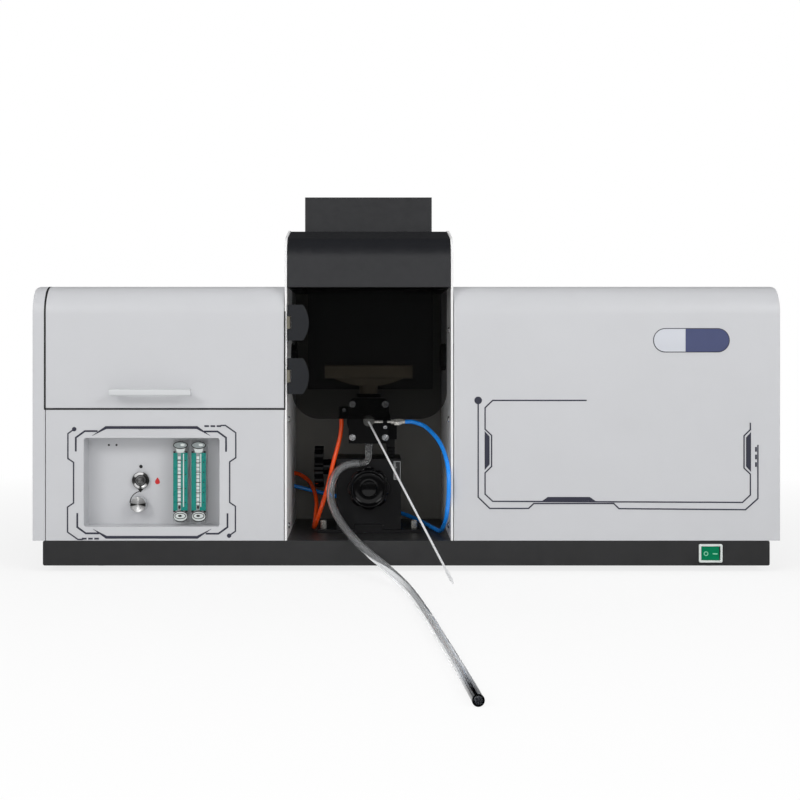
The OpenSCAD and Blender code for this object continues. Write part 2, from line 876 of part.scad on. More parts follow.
module right_rear_panel() {
    vent_x = cover_x0 + vent_in;
    vent_z = z_base + vent_up;
    color(shell_c) difference() {
        along_y(y_back_sheet, sheet_t) intersection() {
            right_outline(x_right, z_base, 0, cover_corner_r);
            translate([cover_x0, 0]) square([x_right, 2 * z_top]);
        }
        along_y(y_back_sheet - cut, sheet_t + 2 * cut) fan_guard_holes();
        span([inlet_x - inlet_w / 2, y_back_sheet - cut, inlet_z - inlet_h / 2],
            [inlet_x + inlet_w / 2, y_rear + cut, inlet_z + inlet_h / 2]);
        for (i = [0 : vent_count - 1], side = [0, 1]) {
            x = vent_x - vent_w + side * (vent_w + vent_pitch);
            z = vent_z + i * vent_pitch;
            span([x, y_back_sheet - cut, z], [x + vent_w, y_rear + cut, z + vent_h]);
        }
    }
}

// Ring slots of the fan's guard, kept apart by a cross
module fan_guard_holes() {
    translate([fan_x, fan_z]) difference() {
        circle(d = fan_bore - 4);
        for (r = guard_rings) {
            difference() {
                circle(r * fan_side / 120);
                circle(r * fan_side / 120 - guard_ring_w);
            }
        }
        for (a = [0, 90]) {
            rotate(a + 45) square([fan_side, guard_ring_w], center = true);
        }
    }
}

// A bay wall from its outer face x, with the beam hole and the screw holes
module bay_side(x) {
    difference() {
        along_x(x, sheet_t) tower_outline(z_base, y_back_sheet, 0);
        bar_x(x - cut, beam_y, beam_z, sheet_t + 2 * cut, lens_tube_d + 2 * slide_gap);
        for (z = bay_screw_zs) {
            bar_x(x - cut, y_front + bay_screw_back, z, sheet_t + 2 * cut, bay_screw_d + 2 * run_gap);
        }
    }
}

module bay_side_left() {
    color(shell_c) difference() {
        bay_side(bay_left - sheet_t);
        for (z = hose_holes_z) {
            bar_x(bay_left - sheet_t - cut, hose_holes_y, z, sheet_t + 2 * cut, hose_hole_d);
        }
    }
}

module bay_side_right() {
    color(shell_c) bay_side(bay_right);
}

module bay_back_wall() {
    y = y_front + bay_depth;
    color(dark_c) span([bay_left, y, z_base], [bay_right, y + sheet_t, hood_z0]);
}

module heat_shield() {
    x0 = bay_x - shield_left;
    x1 = bay_x + shield_right;
    y0 = beam_y + shield_back;
    y1 = y_front + bay_depth;
    z0 = beam_z - shield_down;
    z1 = z_top - shield_room;
    color(black_c) difference() {
        span([x0, y0, z0], [x1, y1, z1]);
        span([x0 + shield_t, y0 + shield_t, z0 - cut], [x1 - shield_t, y1 + cut, z1 + cut]);
    }
}

module hood() {
    x0 = bay_left + seam / 2;
    x1 = bay_right - seam / 2;
    color(dark_c) difference() {
        along_x(x0, x1 - x0) tower_outline(hood_z0, y_back_sheet, hood_lip);
        along_x(x0 + hood_wall, x1 - x0 - 2 * hood_wall)
            tower_outline(hood_z0 - cut, y_back_sheet - hood_wall, hood_lip + hood_wall);
        span([chimney_x0 + chimney_wall, chimney_y0 + chimney_wall, z_top],
            [chimney_x1 - chimney_wall, chimney_y1 - chimney_wall, z_hood + cut]);
    }
}

module chimney() {
    z0 = z_hood - hood_lip;
    z1 = z_hood + chimney_h;
    color(dark_c) difference() {
        union() {
            span([chimney_x0, chimney_y0, z0], [chimney_x1, chimney_y1, z1]);
            span([chimney_x0 - chimney_foot, chimney_y0 - chimney_foot, z0],
                [chimney_x1 + chimney_foot, chimney_y1 + chimney_foot, z0 + chimney_wall]);
        }
        span([chimney_x0 + chimney_wall, chimney_y0 + chimney_wall, z0 - cut],
            [chimney_x1 - chimney_wall, chimney_y1 - chimney_wall, z1 + cut]);
    }
}

module tower_rear_panel() {
    color(shell_c) span([bay_left - sheet_t, y_back_sheet, z_base],
        [bay_right + sheet_t, y_rear, z_hood - hood_lip]);
}

module flame_door() {
    color(smoke_c) along_y(flame_y, flame_door_t) {
        translate([flame_x0, flame_z0 + flame_door_r])
            square([flame_x1 - flame_x0, flame_door_h - flame_door_r]);
        translate([flame_x0 + flame_door_r, flame_z0])
            square([flame_x1 - flame_x0 - 2 * flame_door_r, flame_door_r + 0.01]);
        for (x = [flame_x0 + flame_door_r, flame_x1 - flame_door_r]) {
            translate([x, flame_z0 + flame_door_r]) circle(flame_door_r, $fn = 96);
        }
    }
}

// The D of a hinge block, from its pin to its bulging end
module hinge_outline(z) {
    r = (pow(hinge_block_h / 2, 2) + pow(hinge_bulge, 2)) / (2 * hinge_bulge);
    intersection() {
        translate([flame_axis_x, z - hinge_block_h / 2]) square([hinge_block_w, hinge_block_h]);
        translate([flame_axis_x + hinge_block_w - r, z]) circle(r, $fn = 96);
    }
}

module flame_door_hinges() {
    notch_h = hinge_lug_h + 2 * slide_gap;
    notch_x = flame_axis_x + hinge_block_t / 2 + slide_gap;
    color(dark_c) for (z = hinge_zs) {
        z0 = z - hinge_block_h / 2;
        difference() {
            union() {
                along_y(flame_y - hinge_block_t, hinge_block_t) hinge_outline(z);
                bar_z(flame_axis_x, flame_axis_y, z0, hinge_block_h, hinge_block_t);
            }
            span([bay_left, flame_y - hinge_block_t - cut, z - notch_h / 2],
                [notch_x, flame_y + cut, z + notch_h / 2]);
            bar_z(flame_axis_x, flame_axis_y, z0 - cut, hinge_block_h + 2 * cut, flame_pin_d + 2 * run_gap);
        }
    }
}

// A lug between each hinge block's ends, with its leaf on the bay wall
module flame_door_brackets() {
    y0 = flame_axis_y - hinge_lug_t / 2;
    color(steel_c) for (z = hinge_zs) {
        z0 = z - hinge_lug_h / 2;
        z1 = z + hinge_lug_h / 2;
        difference() {
            union() {
                bar_z(flame_axis_x, flame_axis_y, z0, hinge_lug_h, hinge_lug_t);
                span([bay_left, y0, z0], [flame_axis_x, y0 + hinge_lug_t, z1]);
                span([bay_left, y0, z0], [bay_left + hinge_leaf_t, y0 + hinge_leaf_d, z1]);
            }
            bar_z(flame_axis_x, flame_axis_y, z0 - cut, hinge_lug_h + 2 * cut, flame_pin_d + 2 * run_gap);
        }
    }
}

module hinge_pins() {
    color(steel_c) {
        for (z = hinge_zs) {
            bar_z(flame_axis_x, flame_axis_y, z - hinge_block_h / 2, hinge_block_h, flame_pin_d);
        }
        for (x = lid_stations) {
            bar_x(x - lid_pin_len / 2, lid_axis_y, lid_axis_z, lid_pin_len, hinge_pin_d);
        }
    }
}

module switch_bezel() {
    w = switch_w / 2;
    h = switch_h / 2;
    in_w = w - switch_rim;
    in_h = h - switch_rim;
    skin = switch_wall - run_gap;
    color(shell_c) difference() {
        union() {
            along_y(y_front - switch_frame_t, switch_frame_t)
                all_round([switch_x - w, switch_z - h], [switch_x + w, switch_z + h], 2);
            span([switch_x - in_w - skin, y_front - 0.01, switch_z - in_h - skin],
                [switch_x + in_w + skin, y_front + switch_depth, switch_z + in_h + skin]);
        }
        span([switch_x - in_w, y_front - switch_frame_t - cut, switch_z - in_h],
            [switch_x + in_w, y_front + switch_depth - switch_wall, switch_z + in_h]);
        bar_z(switch_x, y_front + rocker_back, switch_z - h + 0.5, switch_h - 1, rocker_pin_d + 2 * run_gap);
    }
}

module power_rocker() {
    half = switch_w / 2 - switch_rim - rocker_side_gap;
    tall = switch_h - 2 * switch_rim - 2 * slide_gap;
    pin_len = switch_h - 2 * switch_rim + 2;
    color(green_c) translate([switch_x, y_front + rocker_back, 0]) rotate([0, 0, -rocker_tilt]) union() {
        translate([0, 0, switch_z - tall / 2]) linear_extrude(tall) polygon([
            [-half, -rocker_back - rocker_face], [0, -rocker_back - rocker_face + rocker_dish],
            [half, -rocker_back - rocker_face], [half - 2, rocker_back], [0, rocker_back + 3],
            [-half + 2, rocker_back]
        ]);
        bar_z(0, 0, switch_z - pin_len / 2, pin_len, rocker_pin_d);
    }
}

module button_bezel() {
    sleeve_d = button_d + 2 * bezel_wall;
    color(steel_c) difference() {
        union() {
            bar_y(button_x, tray_y - bezel_t, button_z, bezel_t, button_bezel_d);
            bar_y(button_x, tray_y - 0.01, button_z, tray_t + 12, sleeve_d);
        }
        bar_y(button_x, tray_y - bezel_t - cut, button_z, tray_t + 14 + bezel_t, button_d + 2 * run_gap);
    }
}

module ignition_button() {
    y0 = tray_y - bezel_t - button_proud;
    flange_y = tray_y + tray_t + 12 + slide_gap;
    color(steel_c) union() {
        bar_y(button_x, y0, button_z, flange_y - y0 + 0.01, button_d);
        bar_y(button_x, flange_y, button_z, button_travel, button_flange_d);
    }
}

module valve_body() {
    color(steel_c) difference() {
        union() {
            bar_y(valve_x, tray_y - valve_flange_t, valve_z, valve_flange_t, valve_flange_d);
            bar_y(valve_x, tray_y - 0.01, valve_z, valve_len, valve_sleeve_d);
            span([valve_x - valve_box / 2, tray_y + valve_box_back, valve_z - valve_box / 2],
                [valve_x + valve_box / 2, tray_y + valve_box_back + valve_box, valve_z + valve_box / 2]);
        }
        bar_y(valve_x, tray_y - valve_flange_t - cut, valve_z, valve_len + cut, valve_stem_d + 2 * run_gap);
    }
}

module fuel_valve_knob() {
    knob_y1 = tray_y - valve_flange_t - slide_gap;
    color(steel_c) union() {
        along_y(knob_y1 - valve_knob_t, valve_knob_t) translate([valve_x, valve_z]) difference() {
            circle(d = valve_knob_d);
            for (i = [0 : valve_flutes - 1]) {
                rotate(i * 360 / valve_flutes) translate([valve_knob_d / 2 + 0.5, 0]) circle(0.9, $fn = 16);
            }
        }
        bar_y(valve_x, knob_y1 - 0.01, valve_z, valve_len - 6, valve_stem_d);
    }
}

module flowmeter_bodies() {
    z0 = recess_z - meter_h / 2;
    bore_y = tray_y - meter_d / 2;
    color(clear_c) for (x = meter_xs) {
        difference() {
            span([x - meter_w / 2, tray_y - meter_d, z0], [x + meter_w / 2, tray_y, z0 + meter_h]);
            bar_z(x, bore_y, z0 + meter_end, meter_h - 2 * meter_end, meter_bore_d);
            bar_z(x, bore_y, z0 - cut, meter_h + 2 * cut, meter_vent_d);
        }
    }
}

// A flowmeter's float, resting on the lower stop
module float_at(x) {
    bore_y = tray_y - meter_d / 2;
    z0 = recess_z - meter_h / 2 + meter_end;
    bar_z(x, bore_y, z0 + 4, float_h - 4, float_d);
    translate([x, bore_y, z0 + 0.2]) cylinder(d1 = meter_vent_d + 1, d2 = float_d, h = 3.81);
}

module float_left() {
    color(black_c) union() float_at(meter_xs[0]);
}

module float_right() {
    color(black_c) union() float_at(meter_xs[1]);
}

module fastening_screws() {
    head = bay_screw_head_d;
    grip = bay_screw_head_h + sheet_t;
    y = y_front + bay_screw_back;
    color(steel_c) {
        for (z = bay_screw_zs) {
            union() {
                bar_x(bay_left, y, z, bay_screw_head_h, head);
                bar_x(bay_left - sheet_t, y, z, grip, bay_screw_d);
            }
            union() {
                bar_x(bay_right - bay_screw_head_h, y, z, bay_screw_head_h, head);
                bar_x(bay_right - bay_screw_head_h, y, z, grip, bay_screw_d);
            }
        }
        for (side = [-1, 1]) {
            union() {
                bar_z(bay_x + side * hold_x, hold_y, z_base + rail_plate_t, hold_head_h, hold_head_d);
                bar_z(bay_x + side * hold_x, hold_y, z_base, rail_plate_t + cut, hold_shank_d);
            }
        }
    }
}

module stand_rail() {
    plate_z = z_base + rail_plate_t;
    rail_z = plate_z + rail_h;
    color(black_c) difference() {
        union() {
            span([bay_x - rail_plate_w / 2, rail_y0, z_base], [bay_x + rail_plate_w / 2, rail_y1, plate_z]);
            span([bay_x - rail_w / 2, rail_y0, plate_z - 0.01], [bay_x + rail_w / 2, rail_y1, rail_z]);
            span([bay_x - rail_post_w / 2, rail_y1 - rail_post_t, rail_z - 0.01],
                [bay_x + rail_post_w / 2, rail_y1, front_knob_z + knob_shaft_d]);
        }
        bar_y(bay_x, rail_y1 - rail_post_t - cut, front_knob_z, rail_post_t + 2 * cut,
            knob_shaft_d + 2 * run_gap);
        for (side = [-1, 1]) {
            bar_z(bay_x + side * hold_x, hold_y, z_base - cut, rail_plate_t + 2 * cut,
                hold_shank_d + 2 * run_gap);
        }
    }
}

module stand_block() {
    plate_z = z_base + rail_plate_t;
    x0 = bay_x - stand_w / 2;
    pinion_r = pitch_r + tooth_add + pinion_room;
    pinion_x = rack_x - slide_gap;
    color(black_c) difference() {
        span([x0, stand_y0, plate_z + slide_gap], [x0 + stand_w, stand_y1, stand_z1]);
        span([bay_x - rail_w / 2 - slide_gap, stand_y0 - cut, z_base],
            [bay_x + rail_w / 2 + slide_gap, stand_y1 + cut, plate_z + rail_h + slide_gap]);
        bar_y(bay_x, stand_y0 - cut, front_knob_z, stand_d + 2 * cut, knob_shaft_d + 2 * run_gap);
        span([rack_x - slide_gap, rack_line_y - tooth_add - slide_gap, z_base],
            [rack_x + rack_w + slide_gap, rack_line_y + tooth_ded + rack_d + slide_gap, stand_z1 + cut]);
        bar_x(pinion_x, pinion_y, side_knob_z, rack_w + 2 * slide_gap, 2 * pinion_r);
        bar_x(x0 - cut, pinion_y, side_knob_z, rack_x + rack_w + 8 - x0, knob_shaft_d + 2 * run_gap);
    }
}

// A lobed knob with a grooved face towards -Z and its back on Z = 0
module lobed_knob(t) {
    groove_r = knob_d / 2 - 2 * knob_lobe_r + 4;
    difference() {
        translate([0, 0, -t]) linear_extrude(t) lobed_outline();
        translate([0, 0, -t - cut]) difference() {
            cylinder(r = groove_r, h = knob_groove_d + cut);
            translate([0, 0, -cut]) cylinder(r = knob_hub_r, h = knob_groove_d + 3 * cut);
        }
    }
}

module front_knob() {
    knob_y1 = stand_y0 - knob_standoff;
    shaft_y1 = rail_y1 + 5;
    color(black_c) union() {
        translate([bay_x, knob_y1, front_knob_z]) rotate([-90, 0, 0]) lobed_knob(knob_t);
        bar_y(bay_x, knob_y1 - 0.01, front_knob_z, knob_standoff - slide_gap, 2 * shaft_collar_r);
        bar_y(bay_x, knob_y1 - 0.01, front_knob_z, shaft_y1 - knob_y1, knob_shaft_d);
    }
}

// The pinion's outline, with a tooth pointing away from the rack
module pinion_outline() {
    tip_r = pitch_r + tooth_add;
    root_r = pitch_r - tooth_ded;
    wide = tooth_w / 2 + tooth_slope * tooth_ded;
    thin = tooth_w / 2 - tooth_slope * tooth_add;
    union() {
        circle(root_r + 0.01);
        for (i = [0 : pinion_teeth - 1]) {
            rotate(i * 360 / pinion_teeth) polygon([
                [root_r - 1, -wide], [root_r, -wide], [tip_r, -thin],
                [tip_r, thin], [root_r, wide], [root_r - 1, wide]
            ]);
        }
    }
}

module side_knob() {
    x0 = bay_x - stand_w / 2;
    knob_x1 = x0 - side_hub_len;
    color(black_c) union() {
        translate([knob_x1, pinion_y, side_knob_z]) rotate([0, 90, 0]) lobed_knob(side_knob_t);
        bar_x(knob_x1 - 0.01, pinion_y, side_knob_z, side_hub_len - slide_gap, 2 * knob_hub_r);
        bar_x(knob_x1 - 0.01, pinion_y, side_knob_z, rack_x + rack_w + 6 - knob_x1, knob_shaft_d);
        translate([0, pinion_y, side_knob_z]) along_x(rack_x, rack_w) pinion_outline();
    }
}

module lift_rack() {
    first = ceil((rack_z0 + tooth_pitch / 2 - side_knob_z) / tooth_pitch - 0.5);
    last = floor((stand_z1 + 15 - side_knob_z) / tooth_pitch - 0.5);
    root_y = rack_line_y + tooth_ded;
    wide = tooth_w / 2 + tooth_slope * tooth_ded;
    thin = tooth_w / 2 - tooth_slope * tooth_add;
    color(black_c) union() {
        span([rack_x, root_y, rack_z0], [rack_x + rack_w, root_y + rack_d, rack_z1]);
        along_x(rack_x, rack_w) for (i = [first : last]) {
            translate([rack_line_y, side_knob_z + (i + 0.5) * tooth_pitch]) polygon([
                [-tooth_add, -thin], [tooth_ded + 1, -wide], [tooth_ded + 1, wide], [-tooth_add, thin]
            ]);
        }
    }
}

// The chamber flange's and front plate's outline
module plate_outline() {
    w = plate_w / 2;
    h = plate_h / 2;
    c = plate_chamfer;
    translate([bay_x, chamber_z]) polygon([
        [-w, -h], [w, -h], [w, h - c], [w - c, h], [c - w, h], [-w, h - c]
    ]);
}

// Screw places on the front plate
plate_screws = [for (sx = [-1, 1], sz = [-1, 1])
    [bay_x + sx * (plate_w / 2 - screw_in), chamber_z + sz * (plate_h / 2 - screw_in - 3.3)]];

module spray_chamber() {
    socket_d = burner_neck_d + 2 * socket_wall;
    socket_z1 = chamber_z + chamber_d / 2 + socket_h;
    bore_d = chamber_d - 2 * chamber_wall;
    color(black_c) difference() {
        union() {
            bar_y(bay_x, chamber_y0, chamber_z, chamber_len, chamber_d);
            along_y(chamber_y0, chamber_flange_t) plate_outline();
            bar_z(bay_x, beam_y, chamber_z, socket_z1 - chamber_z, socket_d);
            span([rack_x - 3, rack_line_y + tooth_ded, rack_z1],
                [rack_x + rack_w + 3, rack_line_y + tooth_ded + rack_d, chamber_z]);
        }
        bar_y(bay_x, chamber_y0 - cut, chamber_z, chamber_len - chamber_wall + cut, bore_d);
        bar_z(bay_x, beam_y, chamber_z, chamber_d, burner_neck_d + 2 * run_gap);
        for (p = plate_screws) {
            bar_y(p.x, chamber_y0 - cut, p.y, chamber_flange_t + 2 * cut, screw_d + 2 * run_gap);
        }
    }
}

module chamber_front_plate() {
    color(black_c) difference() {
        along_y(plate_y0, plate_t) plate_outline();
        bar_y(bay_x, plate_y0 - cut, chamber_z, plate_t + 2 * cut, nebulizer_d + 2 * run_gap);
        for (p = plate_screws) {
            bar_y(p.x, plate_y0 - cut, p.y, plate_t + 2 * cut, screw_d + 2 * run_gap);
        }
    }
}

module chamber_screws() {
    color(steel_c) for (p = plate_screws) {
        union() {
            bar_y(p.x, plate_y0 - screw_head_h, p.y, screw_head_h, screw_head_d);
            bar_y(p.x, plate_y0 - 0.01, p.y, screw_len, screw_d);
        }
    }
}

module nebulizer() {
    nose_y = plate_y0 - nebulizer_nose;
    half = nebulizer_boss_w / 2;
    color(steel_c) union() {
        bar_y(bay_x, nose_y, chamber_z, nebulizer_nose + nebulizer_back, nebulizer_d - 2);
        bar_y(bay_x, plate_y0 - 0.01, chamber_z, nebulizer_back, nebulizer_d);
        bar_y(bay_x, plate_y0 - nebulizer_collar_t, chamber_z, nebulizer_collar_t, nebulizer_collar_d);
        span([bay_x, oxidant_y - half, oxidant_z - half],
            [bay_x + nebulizer_boss_x, oxidant_y + half, oxidant_z + half]);
    }
}

// The straight capillary runs from the nebulizer's nose down and forward to the sample
module sample_capillary() {
    start = [bay_x, plate_y0 - nebulizer_nose - capillary_d / 2, chamber_z - 1];
    reach = norm(capillary_reach);
    turn = atan2(capillary_reach.y, capillary_reach.x);
    dip = acos(capillary_reach.z / reach);
    sleeve_len = 16;
    color(steel_c) translate(start) rotate([0, dip, turn]) union() {
        cylinder(d = capillary_d, h = reach);
        translate([0, 0, reach - sleeve_len - 6]) cylinder(d = capillary_d + 1.4, h = sleeve_len);
    }
}

module gas_fittings() {
    plate_edge = bay_x - plate_w / 2;
    tube_x = bay_x + nebulizer_boss_x;
    color(steel_c) {
        difference() {
            span([plate_edge - elbow_w, elbow_y, elbow_z],
                [plate_edge, elbow_y + elbow_d, elbow_z + elbow_h]);
            translate([plate_edge - elbow_w - elbow_chamfer / 2, elbow_y - cut, elbow_z + elbow_h])
                rotate([0, 45, 0])
                cube([elbow_chamfer, elbow_d + 2 * cut, elbow_chamfer]);
            bar_y(bay_x, elbow_y - cut, chamber_z, elbow_d + 2 * cut, chamber_d + 2 * slide_gap);
        }
        union() {
            bar_x(tube_x, oxidant_y, oxidant_z, bay_x + oxidant_end_x - tube_x, oxidant_tube_d);
            translate([bay_x + oxidant_hex_x, oxidant_y, oxidant_z]) rotate([0, 90, 0])
                cylinder(d = oxidant_hex_d, h = oxidant_hex_len, $fn = 6);
            bar_x(bay_x + oxidant_hex_x + oxidant_hex_len - 0.01, oxidant_y, oxidant_z,
                oxidant_end_x - oxidant_hex_x - oxidant_hex_len, oxidant_end_d);
        }
        difference() {
            span([bay_x + clip_x, oxidant_y - 5, oxidant_z - clip_h + 5],
                [bay_x + clip_x + clip_w, plate_y0, oxidant_z + 5]);
            bar_x(bay_x + clip_x - cut, oxidant_y, oxidant_z, clip_w + 2 * cut, oxidant_tube_d + 2 * run_gap);
        }
    }
}

module drain_spout() {
    z1 = chamber_z - plate_h / 2;
    z0 = z1 - spout_len;
    barb_h = spout_len / (spout_barbs + 1);
    color(clear_c) union() {
        bar_z(bay_x, spout_y, z0, spout_len, spout_d);
        for (i = [0 : spout_barbs - 1]) {
            translate([bay_x, spout_y, z0 + barb_h * (i + 1)])
                cylinder(d1 = spout_d - 1, d2 = spout_barb_d, h = barb_h - spout_barb_gap);
        }
        translate([bay_x - spout_bend_r, spout_y, z0]) rotate([90, 0, 0]) rotate([0, 0, -90])
            rotate_extrude(angle = 90) translate([spout_bend_r, 0]) circle(d = spout_d - 0.4);
        bar_x(bay_x - spout_bend_r - spout_stub, spout_y, z0 - spout_bend_r, spout_stub, spout_d);
    }
}

module burner_head() {
    neck_z0 = chamber_z + chamber_d / 2 - neck_seat;
    flare_z = burner_z0 - burner_flare;
    flare_w = burner_len - 2 * burner_flare_in;
    flare_r = (pow(flare_w / 2, 2) + pow(burner_flare, 2)) / (2 * burner_flare);
    color(steel_c) difference() {
        union() {
            bar_z(bay_x, beam_y, neck_z0, flare_z - neck_z0 + 2, burner_neck_d);
            along_y(beam_y - burner_flare_w / 2, burner_flare_w) intersection() {
                translate([bay_x - flare_w / 2, flare_z]) square([flare_w, burner_flare + 0.01]);
                translate([bay_x, flare_z + flare_r]) circle(flare_r, $fn = 96);
            }
            along_x(bay_x - burner_len / 2, burner_len)
                all_round([beam_y - burner_w / 2, burner_z0],
                    [beam_y + burner_w / 2, burner_z0 + burner_h], burner_edge_r);
        }
        span([bay_x - slot_len / 2, beam_y - slot_w / 2, burner_z0 + burner_h - slot_deep],
            [bay_x + slot_len / 2, beam_y + slot_w / 2, burner_z0 + burner_h + cut]);
    }
}

module lamp_bracket() {
    plate_x = bracket_x;
    color(steel_c) difference() {
        union() {
            span([plate_x, turret_y - bracket_w / 2, shelf_z],
                [plate_x + bracket_t, turret_y + bracket_w / 2, turret_z + motor_side / 2]);
            span([plate_x - motor_len, turret_y - bracket_w / 2, shelf_z],
                [plate_x + 0.01, turret_y + bracket_w / 2, shelf_z + bracket_t]);
            span([plate_x - motor_len, turret_y - motor_side / 2, turret_z - motor_side / 2],
                [plate_x + 0.01, turret_y + motor_side / 2, turret_z + motor_side / 2]);
        }
        bar_x(plate_x - motor_len + 4, turret_y, turret_z, motor_len + bracket_t,
            turret_shaft_d + 2 * run_gap);
    }
}

// Places of the lamps round the turret, the first one on the beam
lamp_places = [for (i = [0 : lamp_count - 1])
    let (a = lamp_turn + i * 360 / lamp_count)
    [turret_y + lamp_circle_r * cos(a), turret_z + lamp_circle_r * sin(a)]];

module turret_wheel() {
    shaft_x = bracket_x - motor_len + 6;
    hub_x = bracket_x + bracket_t + slide_gap;
    color(steel_c) difference() {
        union() {
            bar_x(turret_x, turret_y, turret_z, turret_t, 2 * turret_r);
            bar_x(hub_x, turret_y, turret_z, turret_reach - bracket_t, turret_hub_d);
            bar_x(shaft_x, turret_y, turret_z, turret_x - shaft_x + 0.01, turret_shaft_d);
        }
        for (p = lamp_places) {
            bar_x(turret_x - cut, p.x, p.y, turret_t + 2 * cut, lamp_base_d + 2 * run_gap);
        }
    }
}

module hollow_cathode_lamps() {
    face_x = turret_x + turret_t;
    color(clear_c) for (p = lamp_places) {
        union() {
            bar_x(face_x - lamp_base_len, p.x, p.y, lamp_base_len + 0.01, lamp_base_d);
            bar_x(face_x, p.x, p.y, lamp_bulb_len, lamp_bulb_d);
        }
    }
}

module lens_tubes() {
    bore = lens_tube_d - 2 * lens_wall;
    flange_d = lens_tube_d + 2 * lens_flange;
    color(black_c) {
        difference() {
            union() {
                bar_x(bay_left - sheet_t - lens_out, beam_y, beam_z, lens_len, lens_tube_d);
                bar_x(bay_left - sheet_t - lens_flange_t, beam_y, beam_z, lens_flange_t, flange_d);
            }
            bar_x(bay_left - 2 * lens_out, beam_y, beam_z, 4 * lens_out, bore);
        }
        difference() {
            union() {
                bar_x(bay_right - lens_in, beam_y, beam_z, lens_len, lens_tube_d);
                bar_x(bay_right + sheet_t, beam_y, beam_z, lens_flange_t, flange_d);
            }
            bar_x(bay_right - 2 * lens_out, beam_y, beam_z, 4 * lens_out, bore);
        }
    }
}

module monochromator_case() {
    z1 = mono_z0 + mono_h;
    color(dark_c) difference() {
        union() {
            span([mono_x0, mono_y0, mono_z0], [mono_x0 + mono_w, mono_y0 + mono_d, z1]);
            for (x = [mono_x0 + mono_leg_in, mono_x0 + mono_w - mono_leg_in],
                    y = [mono_y0 + mono_leg_in, mono_y0 + mono_d - mono_leg_in]) {
                bar_z(x, y, z_base, mono_z0 - z_base + 0.01, mono_leg_d);
            }
        }
        span([mono_x0 + mono_wall, mono_y0 + mono_wall, mono_z0 + mono_wall],
            [mono_x0 + mono_w - mono_wall, mono_y0 + mono_d - mono_wall, z1 - mono_wall]);
        bar_x(mono_x0 - cut, beam_y, beam_z, mono_wall + 2 * cut, slit_d);
        bar_x(mono_x0 + mono_w - mono_wall - cut, beam_y, beam_z, mono_wall + 2 * cut, slit_d);
    }
}

module detector_housing() {
    x = mono_x0 + mono_w;
    color(black_c) difference() {
        bar_x(x, beam_y, beam_z, detector_len, detector_d);
        bar_x(x - cut, beam_y, beam_z, detector_len - 4 + cut, detector_d - 16);
    }
}

module power_supply() {
    x1 = x_right - supply_in;
    y1 = y_back_sheet - supply_back;
    z1 = z_base + supply_h;
    color(steel_c) difference() {
        span([x1 - supply_w, y1 - supply_d, z_base], [x1, y1, z1]);
        for (i = [0 : 10]) {
            x = x1 - supply_w + 15 + i * 15;
            span([x, y1 - supply_d + 15, z1 - 2], [x + 6, y1 - 15, z1 + cut]);
        }
    }
}

module fan_frame() {
    y0 = y_back_sheet - fan_depth;
    half = fan_side / 2;
    color(black_c) difference() {
        union() {
            along_y(y0, fan_depth) translate([fan_x, fan_z]) difference() {
                all_round([-half, -half], [half, half], 5);
                circle(d = fan_bore);
            }
            along_y(y0, fan_spoke_t) translate([fan_x, fan_z]) union() {
                for (a = [0, 90]) {
                    rotate(a) square([fan_bore + 2, fan_spoke_w], center = true);
                }
                circle(fan_hub_r);
            }
        }
        bar_y(fan_x, y0 - cut, fan_z, fan_spoke_t + 2 * cut, fan_axle_d + 2 * run_gap);
    }
}

module fan_rotor() {
    y0 = y_back_sheet - fan_depth + fan_spoke_t + slide_gap;
    deep = fan_depth - fan_spoke_t - 2 * fan_rotor_gap;
    blade_r = fan_bore / 2 - fan_rotor_gap;
    color(black_c) union() {
        bar_y(fan_x, y0, fan_z, deep, 2 * fan_hub_r);
        bar_y(fan_x, y0 - fan_spoke_t - slide_gap, fan_z, fan_spoke_t + slide_gap + 1, fan_axle_d);
        for (i = [0 : fan_blades - 1]) {
            translate([fan_x, y0 + deep / 2, fan_z]) rotate([0, i * 360 / fan_blades, 0])
                translate([fan_hub_r - 2, 0, 0]) rotate([35, 0, 0])
                    translate([0, -1, -deep * 0.52]) cube([blade_r - fan_hub_r, 2, deep * 1.04]);
        }
    }
}

module mains_inlet() {
    w = inlet_w / 2 - run_gap;
    h = inlet_h / 2 - run_gap;
    flange_t = 2;
    y1 = y_rear + flange_t;
    color(black_c) difference() {
        union() {
            span([inlet_x - w, y_rear - inlet_depth, inlet_z - h], [inlet_x + w, y1, inlet_z + h]);
            span([inlet_x - w - inlet_flange, y_rear, inlet_z - h - inlet_flange / 2],
                [inlet_x + w + inlet_flange, y1, inlet_z + h + inlet_flange / 2]);
        }
        difference() {
            span([inlet_x - inlet_room.x / 2, y_rear - inlet_depth + 5, inlet_z - inlet_room.y / 2],
                [inlet_x + inlet_room.x / 2, y1 + cut, inlet_z + inlet_room.y / 2]);
            for (p = [[-7, 0], [7, 0], [0, 3]]) {
                translate([inlet_x + p.x, y_rear - inlet_depth + 4 + inlet_blade.z / 2, inlet_z + p.y])
                    cube([inlet_blade.x, inlet_blade.z + 2, inlet_blade.y], center = true);
            }
        }
    }
}

module gas_ports() {
    color(steel_c) for (x = port_xs) {
        union() {
            bar_y(x, y_rear - port_tail_len, port_z, port_tail_len + 0.01, port_tail_d);
            translate([x, y_rear + port_hex_t, port_z]) rotate([90, 0, 0])
                cylinder(d = port_hex_d, h = port_hex_t, $fn = 6);
            bar_y(x, y_rear + port_hex_t - 0.01, port_z, port_len + 0.01, port_d);
        }
    }
}

module fuel_hose() {
    color(orange_c) hose(fuel_route, gas_hose_d);
}

module oxidant_hose() {
    color(blue_c) hose(oxidant_route, gas_hose_d);
}

module drain_hose() {
    color(clear_c) hose(drain_route, drain_hose_d);
}

